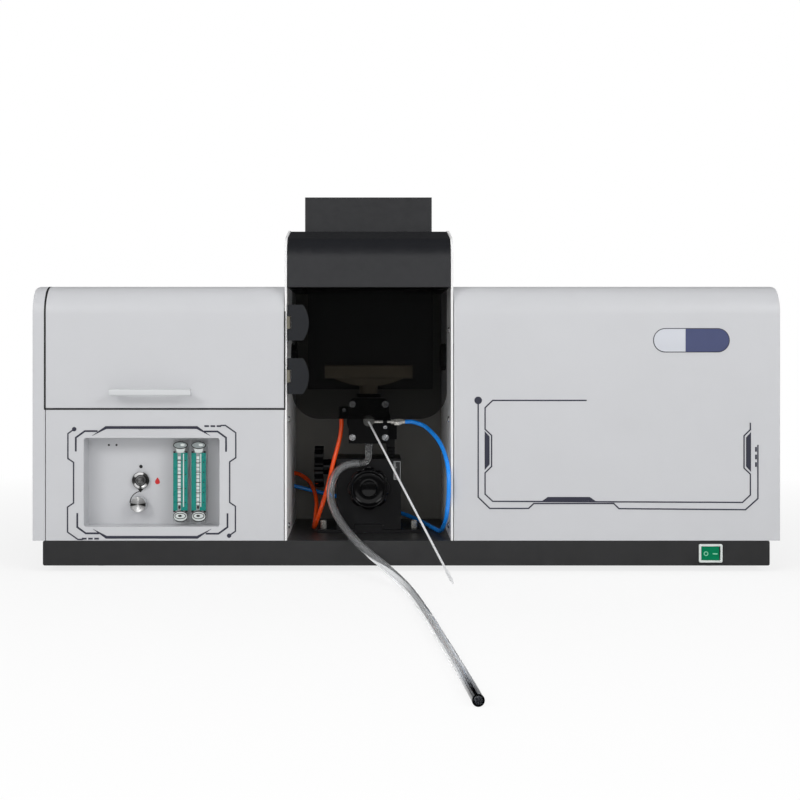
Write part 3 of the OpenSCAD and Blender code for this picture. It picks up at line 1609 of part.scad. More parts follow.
base_tray();
base_plate();
rubber_feet();
left_end_panel();
left_front_panel();
left_chassis();
left_rear_cover();
control_recess();
right_cover();
right_rear_panel();
bay_side_left();
bay_side_right();
bay_back_wall();
heat_shield();
hood();
chimney();
tower_rear_panel();
flame_door_brackets();
hinge_pins();
switch_bezel();
button_bezel();
valve_body();
flowmeter_bodies();
fastening_screws();
stand_rail();
lamp_bracket();
lens_tubes();
monochromator_case();
detector_housing();
power_supply();
fan_frame();
mains_inlet();
gas_ports();
lamp_door();
door_handle();
flame_door();
flame_door_hinges();
ignition_button();
fuel_valve_knob();
float_left();
float_right();
power_rocker();
stand_block();
front_knob();
side_knob();
lift_rack();
spray_chamber();
chamber_front_plate();
chamber_screws();
nebulizer();
sample_capillary();
gas_fittings();
drain_spout();
burner_head();
turret_wheel();
hollow_cathode_lamps();
fan_rotor();
fuel_hose();
oxidant_hose();
drain_hose();
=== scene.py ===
"""Bench flame atomic absorption spectrometer: materials, trim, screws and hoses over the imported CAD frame."""
import math

import bmesh
import bpy
from mathutils import Matrix, Vector


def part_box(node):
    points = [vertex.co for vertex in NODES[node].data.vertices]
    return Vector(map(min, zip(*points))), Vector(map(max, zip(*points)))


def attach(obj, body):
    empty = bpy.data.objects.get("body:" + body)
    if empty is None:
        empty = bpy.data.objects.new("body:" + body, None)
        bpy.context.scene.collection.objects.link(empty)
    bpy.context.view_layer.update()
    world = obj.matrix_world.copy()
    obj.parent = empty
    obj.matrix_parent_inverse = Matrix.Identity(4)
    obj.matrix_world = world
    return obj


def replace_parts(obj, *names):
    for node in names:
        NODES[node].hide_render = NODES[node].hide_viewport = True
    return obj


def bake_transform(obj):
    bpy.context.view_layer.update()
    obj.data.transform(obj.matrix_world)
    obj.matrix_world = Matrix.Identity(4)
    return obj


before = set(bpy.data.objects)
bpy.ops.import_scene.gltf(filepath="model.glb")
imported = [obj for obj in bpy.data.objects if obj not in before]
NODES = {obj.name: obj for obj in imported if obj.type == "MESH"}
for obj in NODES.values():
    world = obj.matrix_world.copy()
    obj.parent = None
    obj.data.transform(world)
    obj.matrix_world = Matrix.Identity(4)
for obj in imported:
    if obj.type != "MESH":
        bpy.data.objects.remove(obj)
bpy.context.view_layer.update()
SCENE = bpy.context.scene
SCENE.view_settings.view_transform = "Standard"
MM = 0.001


def mm(x, y, z):
    """A point given in millimetres, in metres."""
    return Vector((x, y, z)) * MM


def in_mm(point):
    """A point in metres, in millimetres."""
    return [value / MM for value in point]


def node_centre(node):
    """The middle of a node's box, in millimetres."""
    low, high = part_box(node)
    return (low + high) / 2 / MM


def srgb(red, green, blue):
    """A colour as seen on a screen, 0 to 255, in the linear values that shaders take."""
    parts = [value / 255 for value in (red, green, blue)]
    return tuple(p / 12.92 if p <= 0.04045 else ((p + 0.055) / 1.055) ** 2.4 for p in parts)


# Camera: level, in front of the bay, shifted sideways and down to the photograph's framing.
def make_camera():
    data = bpy.data.cameras.new("camera")
    data.sensor_width = 36.0
    data.lens = 64.3
    data.shift_x = 0.04425
    data.shift_y = -0.06325
    data.clip_end = 60.0
    camera = bpy.data.objects.new("camera", data)
    camera.location = (-0.0569, -2.195, 0.303)
    camera.rotation_euler = (math.radians(90), 0, 0)
    SCENE.collection.objects.link(camera)
    SCENE.camera = camera


# Materials.
class Shader:
    """A Principled material whose noise textures lie in the piece's own space."""

    def __init__(self, name, stretch=(1, 1, 1)):
        self.material = bpy.data.materials.new(name)
        self.material.use_nodes = True
        tree = self.material.node_tree
        self.nodes, self.links = tree.nodes, tree.links
        self.bsdf = self.nodes["Principled BSDF"]
        self.coord = self.nodes.new("ShaderNodeTexCoord")
        self.place = self.nodes.new("ShaderNodeMapping")
        self.place.inputs["Scale"].default_value = stretch
        self.links.new(self.coord.outputs["Object"], self.place.inputs["Vector"])

    def noise(self, scale, detail=2.0):
        node = self.nodes.new("ShaderNodeTexNoise")
        node.inputs["Scale"].default_value = scale
        node.inputs["Detail"].default_value = detail
        self.links.new(self.place.outputs["Vector"], node.inputs["Vector"])
        return node.outputs["Fac"]

    def ramp(self, factor, stops):
        """A colour that follows factor through stops of (position, colour)."""
        node = self.nodes.new("ShaderNodeValToRGB")
        elements = node.color_ramp.elements
        while len(elements) < len(stops):
            elements.new(0.5)
        for element, (position, color) in zip(elements, stops):
            element.position = position
            element.color = (*color, 1.0)
        self.links.new(factor, node.inputs["Fac"])
        return node.outputs["Color"]

    def span(self, factor, low, high, start=0.3, stop=0.7):
        node = self.nodes.new("ShaderNodeMapRange")
        node.inputs["From Min"].default_value = start
        node.inputs["From Max"].default_value = stop
        node.inputs["To Min"].default_value = low
        node.inputs["To Max"].default_value = high
        self.links.new(factor, node.inputs["Value"])
        return node.outputs["Result"]

    def surface(self, height, strength, distance=0.0002, edge=0.0):
        """Bump from height, over edges that look softly rounded."""
        node = self.nodes.new("ShaderNodeBump")
        node.inputs["Strength"].default_value = strength
        node.inputs["Distance"].default_value = distance
        self.links.new(height, node.inputs["Height"])
        if edge:
            round_off = self.nodes.new("ShaderNodeBevel")
            round_off.samples = 4
            round_off.inputs["Radius"].default_value = edge
            self.links.new(round_off.outputs["Normal"], node.inputs["Normal"])
        self.links.new(node.outputs["Normal"], self.bsdf.inputs["Normal"])

    def set(self, **sockets):
        for name, value in sockets.items():
            self.bsdf.inputs[name.replace("_", " ").title().replace("Ior", "IOR")].default_value = value


def spread(color, vary):
    """Stops from a little darker than color to a little lighter."""
    return [(0.3, [c * (1 - vary) for c in color]), (0.7, [min(1.0, c * (1 + vary)) for c in color])]


def material(name, color, rough, metallic=0.0, vary=0.04, grain=40.0, rough_vary=0.05, bump=0.08, fine=1600.0,
             edge=0.0006, stretch=(1, 1, 1), **sockets):
    """A finish whose colour, gloss and surface all vary a little."""
    shader = Shader(name, stretch)
    shader.links.new(shader.ramp(shader.noise(grain, 4.0), spread(color, vary)), shader.bsdf.inputs["Base Color"])
    low, high = max(0.02, rough - rough_vary), rough + rough_vary
    shader.links.new(shader.span(shader.noise(grain * 4.0), low, high), shader.bsdf.inputs["Roughness"])
    shader.surface(shader.noise(fine), bump, edge=edge)
    shader.set(metallic=metallic, **sockets)
    return shader.material


shell = material("shell_paint", srgb(203, 204, 207), 0.42, vary=0.012, grain=14, bump=0.10, fine=900, edge=0.0012)
# Shell paint for the bay's side walls, made lighter than outside: painted light for the lamp light that falls short
# inside the bay.
inner_shell_painted_light = material("shell_inside_painted_light", srgb(240, 240, 240), 0.5, vary=0.02, grain=14, bump=0.1, fine=900)
hood_paint = material("hood_paint", srgb(28, 29, 33), 0.4, vary=0.05, grain=30, bump=0.06, fine=1100, edge=0.0015)
base_paint = material("base_paint", srgb(40, 40, 41), 0.4, vary=0.06, grain=30, bump=0.06, fine=1100, edge=0.001)
knob_plastic = material("knob_plastic", srgb(8, 8, 9), 0.12, vary=0.08, grain=60, bump=0.02, edge=0.0006,
                        specular_ior_level=0.2)
bay_paint = material("bay_paint", srgb(112, 110, 104), 0.46, vary=0.05, grain=18, bump=0.10, fine=1100, edge=0.0008)
shield_paint = material("shield_paint", srgb(15, 15, 15), 0.5, vary=0.08, grain=30, bump=0.1, fine=1100, edge=0.0008)
black_metal = material("black_metal", srgb(19, 19, 21), 0.42, vary=0.08, grain=60, bump=0.03, edge=0.0007,
                       specular_ior_level=0.2)
black_plastic = material("black_plastic", srgb(10, 10, 11), 0.32, vary=0.08, grain=80, bump=0.08, fine=2200,
                         edge=0.0008, specular_ior_level=0.08)
hinge_plastic = material("hinge_plastic", srgb(30, 32, 36), 0.42, vary=0.05, grain=70, bump=0.08, fine=2200,
                         edge=0.001, specular_ior_level=0.25)
white_plastic = material("white_plastic", srgb(218, 224, 221), 0.34, vary=0.02, grain=60, bump=0.06, edge=0.0006)
rubber = material("rubber", srgb(24, 24, 24), 0.75, vary=0.12, grain=120, bump=0.3, fine=2500)
zinc = material("zinc_sheet", srgb(168, 172, 176), 0.36, metallic=0.9, vary=0.10, grain=55, rough_vary=0.12,
                bump=0.05)
steel = material("steel", srgb(176, 177, 178), 0.28, metallic=0.85, vary=0.06, grain=90, bump=0.05)
dark_steel = material("dark_steel", srgb(84, 84, 82), 0.3, metallic=0.85, vary=0.10, grain=90, bump=0.06)
nickel = material("nickel", srgb(212, 210, 204), 0.24, metallic=0.7, vary=0.06, grain=90, bump=0.04)
chrome = material("chrome", srgb(190, 191, 192), 0.24, metallic=0.85, vary=0.03, grain=90, rough_vary=0.03,
                  bump=0.02)
bracket_metal = material("bracket_metal", srgb(112, 108, 96), 0.36, metallic=0.5, vary=0.08, grain=80, bump=0.05)
bright_steel = material("bright_steel", srgb(244, 245, 246), 0.35, metallic=0.25, vary=0.04, grain=120, bump=0.03)
aluminium = material("aluminium", srgb(206, 208, 210), 0.3, metallic=0.85, vary=0.05, grain=35, bump=0.06,
                     stretch=(0.12, 1.0, 1.0))
handle_metal = material("handle_metal", srgb(216, 218, 220), 0.34, metallic=0.3, vary=0.03, grain=35, bump=0.05,
                        edge=0.0012, stretch=(0.1, 1.0, 1.0))
burner_metal = material("burner_metal", srgb(112, 102, 86), 0.4, metallic=0.4, vary=0.12, grain=50, rough_vary=0.10)
slate_ink = material("slate_ink", srgb(44, 45, 62), 0.5, vary=0.04, grain=50, bump=0.04, edge=0.0)
silver_plate = material("silver_plate", srgb(210, 213, 220), 0.34, metallic=0.15, vary=0.03, grain=40, bump=0.04,
                        edge=0.0004, stretch=(0.15, 1.0, 1.0))
badge_blue = material("badge_blue", srgb(66, 74, 114), 0.4, vary=0.05, grain=40, bump=0.04, edge=0.0004)
green_plastic = material("green_plastic", srgb(8, 122, 82), 0.3, vary=0.06, grain=70, bump=0.05, edge=0.0006,
                         specular_ior_level=0.05)
pale_ink = material("pale_ink", srgb(132, 208, 172), 0.45, vary=0.03, grain=60, bump=0.03, edge=0.0)
dark_ink = material("dark_ink", srgb(22, 22, 24), 0.5, vary=0.08, grain=60, bump=0.03, edge=0.0)
red_ink = material("red_ink", srgb(206, 30, 32), 0.42, vary=0.06, grain=60, bump=0.03, edge=0.0)
teal_plate = material("teal_plate", srgb(26, 130, 120), 0.3, vary=0.08, grain=60, bump=0.04, edge=0.0,
                      specular_ior_level=0.25)
tube_grey = material("tube_grey", srgb(138, 146, 146), 0.25, vary=0.06, grain=90, bump=0.04, edge=0.0)
# Pale print on the flowmeters; the same finish paints their highlights.
pale_print_and_highlight = material("pale_print_and_highlight", srgb(208, 214, 212), 0.4, vary=0.04, grain=90, bump=0.03, edge=0.0)
white_ink = material("white_ink", srgb(226, 228, 228), 0.4, vary=0.02, grain=60, bump=0.03, edge=0.0)
orange_hose_m = material("orange_hose", srgb(252, 80, 14), 0.24, vary=0.07, grain=40, bump=0.05, edge=0.0,
                         coat_weight=0.12)
blue_hose_m = material("blue_hose", srgb(30, 146, 252), 0.24, vary=0.06, grain=40, bump=0.05, edge=0.0,
                       coat_weight=0.12)


def glass(name, color, rough=0.03, ior=1.49, transmission=1.0, alpha=1.0, vary=0.04, **sockets):
    """Clear stock with faint streaks in its colour and gloss."""
    shader = Shader(name)
    shader.links.new(shader.ramp(shader.noise(30.0, 3.0), spread(color, vary)), shader.bsdf.inputs["Base Color"])
    shader.links.new(shader.span(shader.noise(120.0), rough, rough * 1.8), shader.bsdf.inputs["Roughness"])
    shader.surface(shader.noise(60.0), 0.02)
    shader.set(ior=ior, transmission_weight=transmission, alpha=alpha, **sockets)
    return shader.material


smoked = glass("smoked_acrylic", srgb(3, 3, 3), rough=0.03, transmission=0.0, alpha=0.45, specular_ior_level=0.02)
clear = glass("clear_acrylic", srgb(232, 238, 236), rough=0.03, ior=1.45, alpha=0.2)
lamp_glass = glass("lamp_glass", srgb(236, 240, 240), rough=0.02, ior=1.4, alpha=0.5)
spout_plastic = glass("spout_plastic", srgb(226, 228, 228), rough=0.05, ior=1.4, transmission=0.92)


def vinyl_painted_dark_end(name, start, stop):
    """Clear vinyl, hazy and pale, that darkens along -Y from start to stop: painted dark reflection towards the far
    end.
    """
    shader = Shader(name)
    split = shader.nodes.new("ShaderNodeSeparateXYZ")
    shader.links.new(shader.coord.outputs["Object"], split.inputs["Vector"])
    depth = shader.span(split.outputs["Y"], 0.0, 1.0, start * MM, stop * MM)
    # Near white to near black towards the far end: painted dark reflection.
    stops = [(0.0, srgb(250, 251, 252)), (0.5, srgb(214, 217, 221)), (1.0, srgb(16, 18, 26))]
    shader.links.new(shader.ramp(depth, stops), shader.bsdf.inputs["Base Color"])
    shader.links.new(shader.span(shader.noise(90.0), 0.01, 0.03), shader.bsdf.inputs["Roughness"])
    shader.surface(shader.noise(50.0), 0.01)
    shader.set(ior=1.28, transmission_weight=0.93)
    return shader.material


vinyl = vinyl_painted_dark_end("clear_vinyl", -840, -965)

FINISHES = {
    shell: "left_end_panel left_front_panel left_rear_cover control_recess right_cover lamp_door tower_rear_panel "
           "right_rear_panel",
    inner_shell_painted_light: "bay_side_left bay_side_right",
    hood_paint: "hood chimney",
    shield_paint: "heat_shield",
    base_paint: "base_tray base_plate",
    bay_paint: "bay_back_wall",
    zinc: "left_chassis power_supply",
    rubber: "rubber_feet",
    hinge_plastic: "flame_door_hinges",
    white_plastic: "switch_bezel",
    steel: "button_bezel ignition_button valve_body gas_ports",
    bracket_metal: "flame_door_brackets hinge_pins",
    nickel: "gas_fittings",
    dark_steel: "nebulizer",
    chrome: "fastening_screws chamber_screws",
    bright_steel: "sample_capillary",
    aluminium: "fuel_valve_knob lamp_bracket monochromator_case turret_wheel",
    handle_metal: "door_handle",
    black_metal: "stand_rail lens_tubes detector_housing stand_block lift_rack",
    knob_plastic: "front_knob side_knob",
    black_plastic: "fan_frame mains_inlet spray_chamber chamber_front_plate fan_rotor float_left float_right",
    burner_metal: "burner_head",
    clear: "flowmeter_bodies",
    smoked: "flame_door",
    lamp_glass: "hollow_cathode_lamps",
    spout_plastic: "drain_spout",
    green_plastic: "power_rocker",
    orange_hose_m: "fuel_hose",
    blue_hose_m: "oxidant_hose",
    vinyl: "drain_hose",
}
for finish, names in FINISHES.items():
    for name in names.split():
        for place in NODES[name].material_slots:
            place.material = finish


# Mesh building. Raised trim is sunk this far into the face that carries it, in millimetres.
SUNK = 0.05


def piece(name, mesh_data, finish, body, sharp=40):
    """Links a bmesh as an object that moves with body."""
    bmesh.ops.recalc_face_normals(mesh_data, faces=mesh_data.faces)
    mesh = bpy.data.meshes.new(name)
    mesh_data.to_mesh(mesh)
    mesh_data.free()
    mesh.materials.append(finish)
    mesh.polygons.foreach_set("use_smooth", [True] * len(mesh.polygons))
    mesh.set_sharp_from_angle(angle=math.radians(sharp))
    made = bpy.data.objects.new(name, mesh)
    SCENE.collection.objects.link(made)
    if body:
        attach(made, body)
    return made


def loft(mesh_data, rings, closed_ends=True):
    """Joins rings of equal length with quads; a ring of one point closes to a tip."""
    rows = [[mesh_data.verts.new(point) for point in ring] for ring in rings]
    for low, high in zip(rows, rows[1:]):
        count = max(len(low), len(high))
        for i in range(count):
            j = (i + 1) % count
            corners = [low[i % len(low)], low[j % len(low)], high[j % len(high)], high[i % len(high)]]
            mesh_data.faces.new(list(dict.fromkeys(corners)))
    if closed_ends:
        for ring in (rows[0], rows[-1]):
            if len(ring) > 2:
                mesh_data.faces.new(ring)


def circle(sides):
    """Angles of as many even steps round a circle."""
    return [2 * math.pi * i / sides for i in range(sides)]


def polar(radius, angle, height):
    return Vector((radius * math.cos(angle), radius * math.sin(angle), height))


def turned_ring(place, radius, height, sides):
    """A ring about the local Z axis of place, or the one point on it where radius is 0."""
    return [place @ polar(radius, angle, height) for angle in circle(sides if radius > 0 else 1)]


def lathe(mesh_data, place, profile, sides=40):
    """Turns a profile of (radius, height) about the local Z axis of place; a radius of 0 is a tip.

    A profile that ends where it starts makes a ring with an open middle.
    """
    shut = profile[0] == profile[-1]
    loft(mesh_data, [turned_ring(place, radius, height, sides) for radius, height in profile], closed_ends=not shut)
    if shut:
        bmesh.ops.remove_doubles(mesh_data, verts=mesh_data.verts, dist=1e-7)


def facing(point, direction):
    """A frame in millimetres at point whose Z axis looks along direction."""
    turn = Vector(direction).to_track_quat("Z", "Y").to_matrix().to_4x4()
    return Matrix.Translation(mm(*point)) @ turn @ Matrix.Scale(MM, 4)


def plate(mesh_data, outline, y, proud, bevel=0.0):
    """A plate with an outline of (x, z) on the plane y that stands proud towards the front."""
    centre = Vector((sum(p[0] for p in outline), sum(p[1] for p in outline))) / len(outline)

    def ring(at, inset):
        points = [Vector(p) + (centre - Vector(p)).normalized() * inset for p in outline]
        return [mm(p.x, at, p.y) for p in points]

    rings = [ring(y + SUNK, 0), ring(y - proud + bevel, 0)]
    if bevel:
        rings.append(ring(y - proud, bevel))
    loft(mesh_data, rings)


def ribbon(mesh_data, points, width, y, proud=0.25, pointed=False):
    """A raised line through points of (x, z), mitred at its corners, on the plane y."""
    line = [Vector(p) for p in points]
    headings = [(b - a).normalized() for a, b in zip(line, line[1:])]
    rings = []
    for i, point in enumerate(line):
        before = headings[max(i - 1, 0)]
        after = headings[min(i, len(headings) - 1)]
        sides = [Vector((-d.y, d.x)) for d in (before, after)]
        mitre = (sides[0] + sides[1]).normalized()
        half = width / 2 / max(mitre.dot(sides[0]), 0.3)
        if pointed and i in (0, len(line) - 1):
            half = width * 0.04
        left, right = point + mitre * half, point - mitre * half
        rings.append([mm(left.x, y + SUNK, left.y), mm(left.x, y - proud, left.y),
                      mm(right.x, y - proud, right.y), mm(right.x, y + SUNK, right.y)])
    loft(mesh_data, rings)


def oval(x, z, half_x, half_z, sides=36):
    return [(x + half_x * math.cos(angle), z + half_z * math.sin(angle)) for angle in circle(sides)]


def box_outline(x0, z0, x1, z1, corner=0.0, steps=6):
    """A rectangle with rounded corners."""
    if corner <= 0:
        return [(x0, z0), (x1, z0), (x1, z1), (x0, z1)]
    points = []
    for cx, cz, start in ((x1 - corner, z1 - corner, 0), (x0 + corner, z1 - corner, 90),
                          (x0 + corner, z0 + corner, 180), (x1 - corner, z0 + corner, 270)):
        for i in range(steps + 1):
            angle = math.radians(start + 90 * i / steps)
            points.append((cx + corner * math.cos(angle), cz + corner * math.sin(angle)))
    return points


# Hoses: the routes of the CAD solids, in millimetres. The oxidant hose keeps up to 1.4 mm further off the right wall.
FUEL_ROUTE = [
    (-90, -154, 203.8), (-90, -154, 193), (-92, -156, 178), (-96.5, -160, 160), (-101.5, -163, 142),
    (-105.5, -163.5, 124), (-110, -162, 106), (-114.5, -159.5, 90), (-119.5, -160, 75), (-124, -157, 61.5),
    (-127.5, -148, 51.5), (-129.5, -136.5, 47), (-130, -124.5, 48), (-129, -112.5, 54.5), (-128, -104, 66),
    (-127.5, -96.5, 77.5), (-129.5, -83.5, 88), (-133.5, -67.5, 96.5), (-139, -49.5, 104), (-148, -39, 110.5),
    (-156.5, -34, 114.5), (-165.5, -32, 116), (-175, -32, 116)]
OXIDANT_ROUTE = [
    (0.2, -181, 201), (9.5, -181, 201), (18, -182.5, 199), (27.5, -187, 195), (36, -196.5, 188), (44, -208, 179),
    (50.5, -221, 167.5), (55, -235, 153.5), (57.2, -248, 137.5), (57.6, -253, 120), (57.3, -251, 103),
    (56.4, -244, 87), (55.5, -232, 73), (53.5, -216, 61), (51.5, -198, 52), (49.5, -180, 47), (47, -162, 45.6),
    (43.5, -143, 45.6), (39.5, -124, 46), (34.5, -105, 47), (28, -86, 48.5), (19, -69, 51), (7, -55, 54.5),
    (-8, -45, 58.5), (-26, -39, 63), (-46, -36, 68), (-67, -34.5, 73), (-88, -33.5, 78), (-109, -33, 83),
    (-129, -32.5, 88), (-148, -32, 92.5), (-163, -32, 96), (-175, -32, 96)]
DRAIN_ROUTE = [
    (-64.2, -168, 141), (-73.5, -168, 140.7), (-84, -168.6, 138.2), (-92.8, -170, 132.6), (-99.5, -172.3, 124.2),
    (-103.6, -175.6, 113.6), (-105, -180.2, 102), (-104, -186, 91), (-100.5, -193.5, 81), (-95.5, -203, 71.5),
    (-89.5, -214.5, 63), (-83.5, -228.5, 56.5), (-77.5, -244.5, 51.5), (-71.5, -261, 47), (-64.5, -277, 42),
    (-56, -293, 36.5), (-47, -309.5, 30.5), (-37, -327, 25), (-27, -346.5, 19), (-17.5, -367.5, 13.5),
    (-9.5, -391, 9), (-3.5, -418.5, 6.5), (1, -453, 5.7), (5.5, -500, 5.7), (10.5, -560, 5.7), (16, -630, 5.7),
    (21, -705, 5.7), (26.5, -780, 5.7), (31.5, -855, 5.7), (36, -925, 5.7), (39.5, -985, 5.7)]


def smooth_path(route, steps):
    """Points on a smooth curve through a route, in metres."""
    line = [mm(*p) for p in route]
    line = [line[0] * 2 - line[1]] + line + [line[-1] * 2 - line[-2]]
    points = []
    for i in range(1, len(line) - 2):
        a, b, c, d = line[i - 1:i + 3]
        for step in range(steps):
            t = step / steps
            points.append(0.5 * (2 * b + (c - a) * t + (2 * a - 5 * b + 4 * c - d) * t ** 2
                                 + (3 * b - a - 3 * c + d) * t ** 3))
    return points + [line[-2]]


def hose_rings(path, radius, sides):
    """Rings square to the path, carried along it without twist."""
    rings = []
    ahead = (path[1] - path[0]).normalized()
    side = ahead.orthogonal().normalized()
    for i, point in enumerate(path):
        ahead = (path[min(i + 1, len(path) - 1)] - path[max(i - 1, 0)]).normalized()
        side = (side - ahead * side.dot(ahead)).normalized()
        up = ahead.cross(side)
        rings.append([point + (side * math.cos(a) + up * math.sin(a)) * radius for a in circle(sides)])
    return rings


def make_hose(name, route, diameter, finish, bore=0.0, steps=5, sides=20):
    """A hose that hangs from the burner, on a smooth curve through route, in place of its CAD node."""
    path = smooth_path(route, steps)
    mesh_data = bmesh.new()
    outer = hose_rings(path, diameter / 2 * MM, sides)
    if bore:
        inner = hose_rings(path, bore / 2 * MM, sides)
        loft(mesh_data, outer + inner[::-1] + outer[:1], closed_ends=False)
        bmesh.ops.remove_doubles(mesh_data, verts=mesh_data.verts, dist=1e-6)
    else:
        loft(mesh_data, outer)
    hose = piece(name, mesh_data, finish, None, sharp=60)
    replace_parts(hose, name.replace("_tube", ""))
    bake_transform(hose)


make_camera()
make_hose("fuel_hose_tube", FUEL_ROUTE, 6.0, orange_hose_m)
make_hose("oxidant_hose_tube", OXIDANT_ROUTE, 6.0, blue_hose_m)
make_hose("drain_hose_tube", DRAIN_ROUTE, 11.0, vinyl, bore=8.0,
          steps=14, sides=40)


# Pinstripes, badge and the door seal with its painted gap shade on the front panels.
FRONT_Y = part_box("right_cover")[0].y / MM
THIN, THICK, BROAD = 1.8, 2.4, 3.8
DOT_PROUD, FILL_PROUD, DOT_SIDES = 0.27, 0.23, 28


def around(points, turn, centre):
    """Points about centre, turned half round when turn is set."""
    sign = -1 if turn else 1
    return [(centre[0] + sign * x, centre[1] + sign * z) for x, z in points]


def left_stripes():
    centre, dot_r = (-347.5, 121.5), 3.0
    panel_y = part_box("left_front_panel")[0].y / MM
    outer = [(-105.7, 72.7), (-114.3, 66.6), (-114.3, 32.6), (-106.5, 27.3), (-106.5, -28.1), (-114.8, -33.6),
             (-114.8, -67.8), (-100.6, -77.8), (-94.0, -77.8)]
    corner_a = [(-103.5, 42.2), (-103.5, 61.1), (-91.2, 70.0), (-73.8, 70.0)]
    corner_b = [(71.7, 69.5), (89.9, 69.5), (101.5, 61.1), (101.5, 41.9)]
    bar = [(-81.3, 63.6), (-62.3, 74.9), (61.8, 74.9), (80.0, 63.6)]
    dash_x, dash_z, dash, gap = -95.0, -76.8, 6.2, 8.4
    mesh_data = bmesh.new()
    for turn in (False, True):
        ribbon(mesh_data, around(outer, turn, centre), THIN, panel_y)
        plate(mesh_data, oval(*around(outer[:1], turn, centre)[0], dot_r, dot_r, DOT_SIDES), panel_y, DOT_PROUD)
        for corner in (corner_a, corner_b):
            ribbon(mesh_data, around(corner, turn, centre), THICK, panel_y)
        ribbon(mesh_data, around(bar, turn, centre), BROAD, panel_y, pointed=True)
        for i in range(3):
            x = dash_x + i * gap
            ribbon(mesh_data, around([(x, dash_z), (x + dash, dash_z)], turn, centre), THICK, panel_y)
    piece("left_pinstripes", mesh_data, slate_ink, "root")


def right_stripes():
    dot, dot_r = (98.1, 233.4), 5.2
    outer = [dot, (98.1, 101.3), (113.9, 86.0), (166.9, 86.0), (174.0, 92.7), (283.0, 92.7), (290.3, 85.7),
             (462.8, 84.2), (479.8, 99.4), (479.8, 172.8)]
    inner = [(246.2, 233.4), (117.9, 233.4), (107.5, 223.4), (107.5, 194.1), (116.4, 185.6), (116.4, 143.3),
             (107.5, 134.5), (107.5, 105.5), (117.9, 95.7), (458.8, 94.2), (469.5, 104.3), (469.5, 132.7),
             (460.9, 141.1), (460.9, 185.1), (469.5, 193.5), (469.5, 203.0)]
    dash_x, dash_z, dash, gap = 477.2, 169.8, 6.4, 10.4
    fills = [[(106.9, 191.6), (113.7, 184.0), (113.7, 146.0), (106.9, 138.4)],
             [(470.4, 190.3), (463.6, 182.7), (463.6, 143.3), (470.4, 135.7)],
             [(185.2, 96.1), (193.0, 101.6), (250.5, 101.6), (258.3, 96.1)]]
    mesh_data = bmesh.new()
    ribbon(mesh_data, outer, THIN, FRONT_Y)
    plate(mesh_data, oval(*dot, dot_r, dot_r, DOT_SIDES), FRONT_Y, DOT_PROUD)
    ribbon(mesh_data, inner, THIN, FRONT_Y)
    for fill in fills:
        plate(mesh_data, fill, FRONT_Y, FILL_PROUD)
    for i in range(3):
        z = dash_z - i * gap
        ribbon(mesh_data, [(dash_x, z), (dash_x, z - dash)], THICK, FRONT_Y)
    piece("right_pinstripes", mesh_data, slate_ink, "root")


def badge():
    """A bare two-tone plate with round ends, in a thin dark rim."""
    x0, x1, z0, z1, split = 337.8, 440.4, 299.9, 331.0, 381.0
    radius, centre_z, steps, rim_w, bevel = (z1 - z0) / 2, (z0 + z1) / 2, 18, 1.0, 0.3

    def half_round(sign, reach):
        x = x1 - radius if sign > 0 else x0 + radius
        angles = [math.radians(90 - 180 * i / steps) for i in range(steps + 1)]
        return [(x + sign * reach * math.cos(a), centre_z + reach * math.sin(a)) for a in angles]

    for name, sign, finish in (("badge_left", -1, silver_plate), ("badge_right", 1, badge_blue)):
        mesh_data = bmesh.new()
        outline = [(split, z1)] + half_round(sign, radius) + [(split, z0)]
        plate(mesh_data, outline, FRONT_Y - bevel, 2 * bevel, bevel=bevel)
        piece(name, mesh_data, finish, "root")
    rim = bmesh.new()
    plate(rim, half_round(1, radius + rim_w) + half_round(-1, radius + rim_w)[::-1], FRONT_Y, 0.35)
    piece("badge_rim", rim, slate_ink, "root")


def door_seal_and_gap_shade():
    """A thin dark lip round the lamp door, on the fixed panels beside and below it: part seal, part painted shade in
    the gap.
    """
    low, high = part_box("lamp_door")
    (x0, y0, z0), (x1, _, z1) = in_mm(low), in_mm(high)
    round_r, back_y, proud, steps = 38.0, 100.0, 0.2, 12
    gap, left_lip, right_lip, foot_lip, drop = 0.15, 2.6, 2.1, 2.55, 2.5
    line = [(y0, z0 - drop, 0.0)]
    for i in range(steps + 1):
        angle = math.radians(90 * i / steps)
        line.append((y0 + round_r * (1 - math.cos(angle)), z1 - round_r * (1 - math.sin(angle)), angle))
    line.append((back_y, z1, math.radians(90)))
    mesh_data = bmesh.new()
    for left, right in ((x0 - left_lip, x0 - gap), (x1 + gap, x1 + right_lip)):
        section = ((left, -SUNK), (left, proud), (right, proud), (right, -SUNK))
        rings = []
        for y, z, angle in line:
            out = Vector((0, -math.cos(angle), math.sin(angle)))
            rings.append([mm(x, y, z) + out * reach * MM for x, reach in section])
        loft(mesh_data, rings)
    foot_z = z0 - (gap + foot_lip) / 2
    ribbon(mesh_data, [(x0 - gap, foot_z), (x1 + gap, foot_z)], foot_lip - gap, y0, proud)
    piece("door_seal_and_gap_shade", mesh_data, dark_ink, "root")


left_stripes()
right_stripes()
badge()
door_seal_and_gap_shade()


# Controls in the recess.
TRAY_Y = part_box("flowmeter_bodies")[1].y / MM


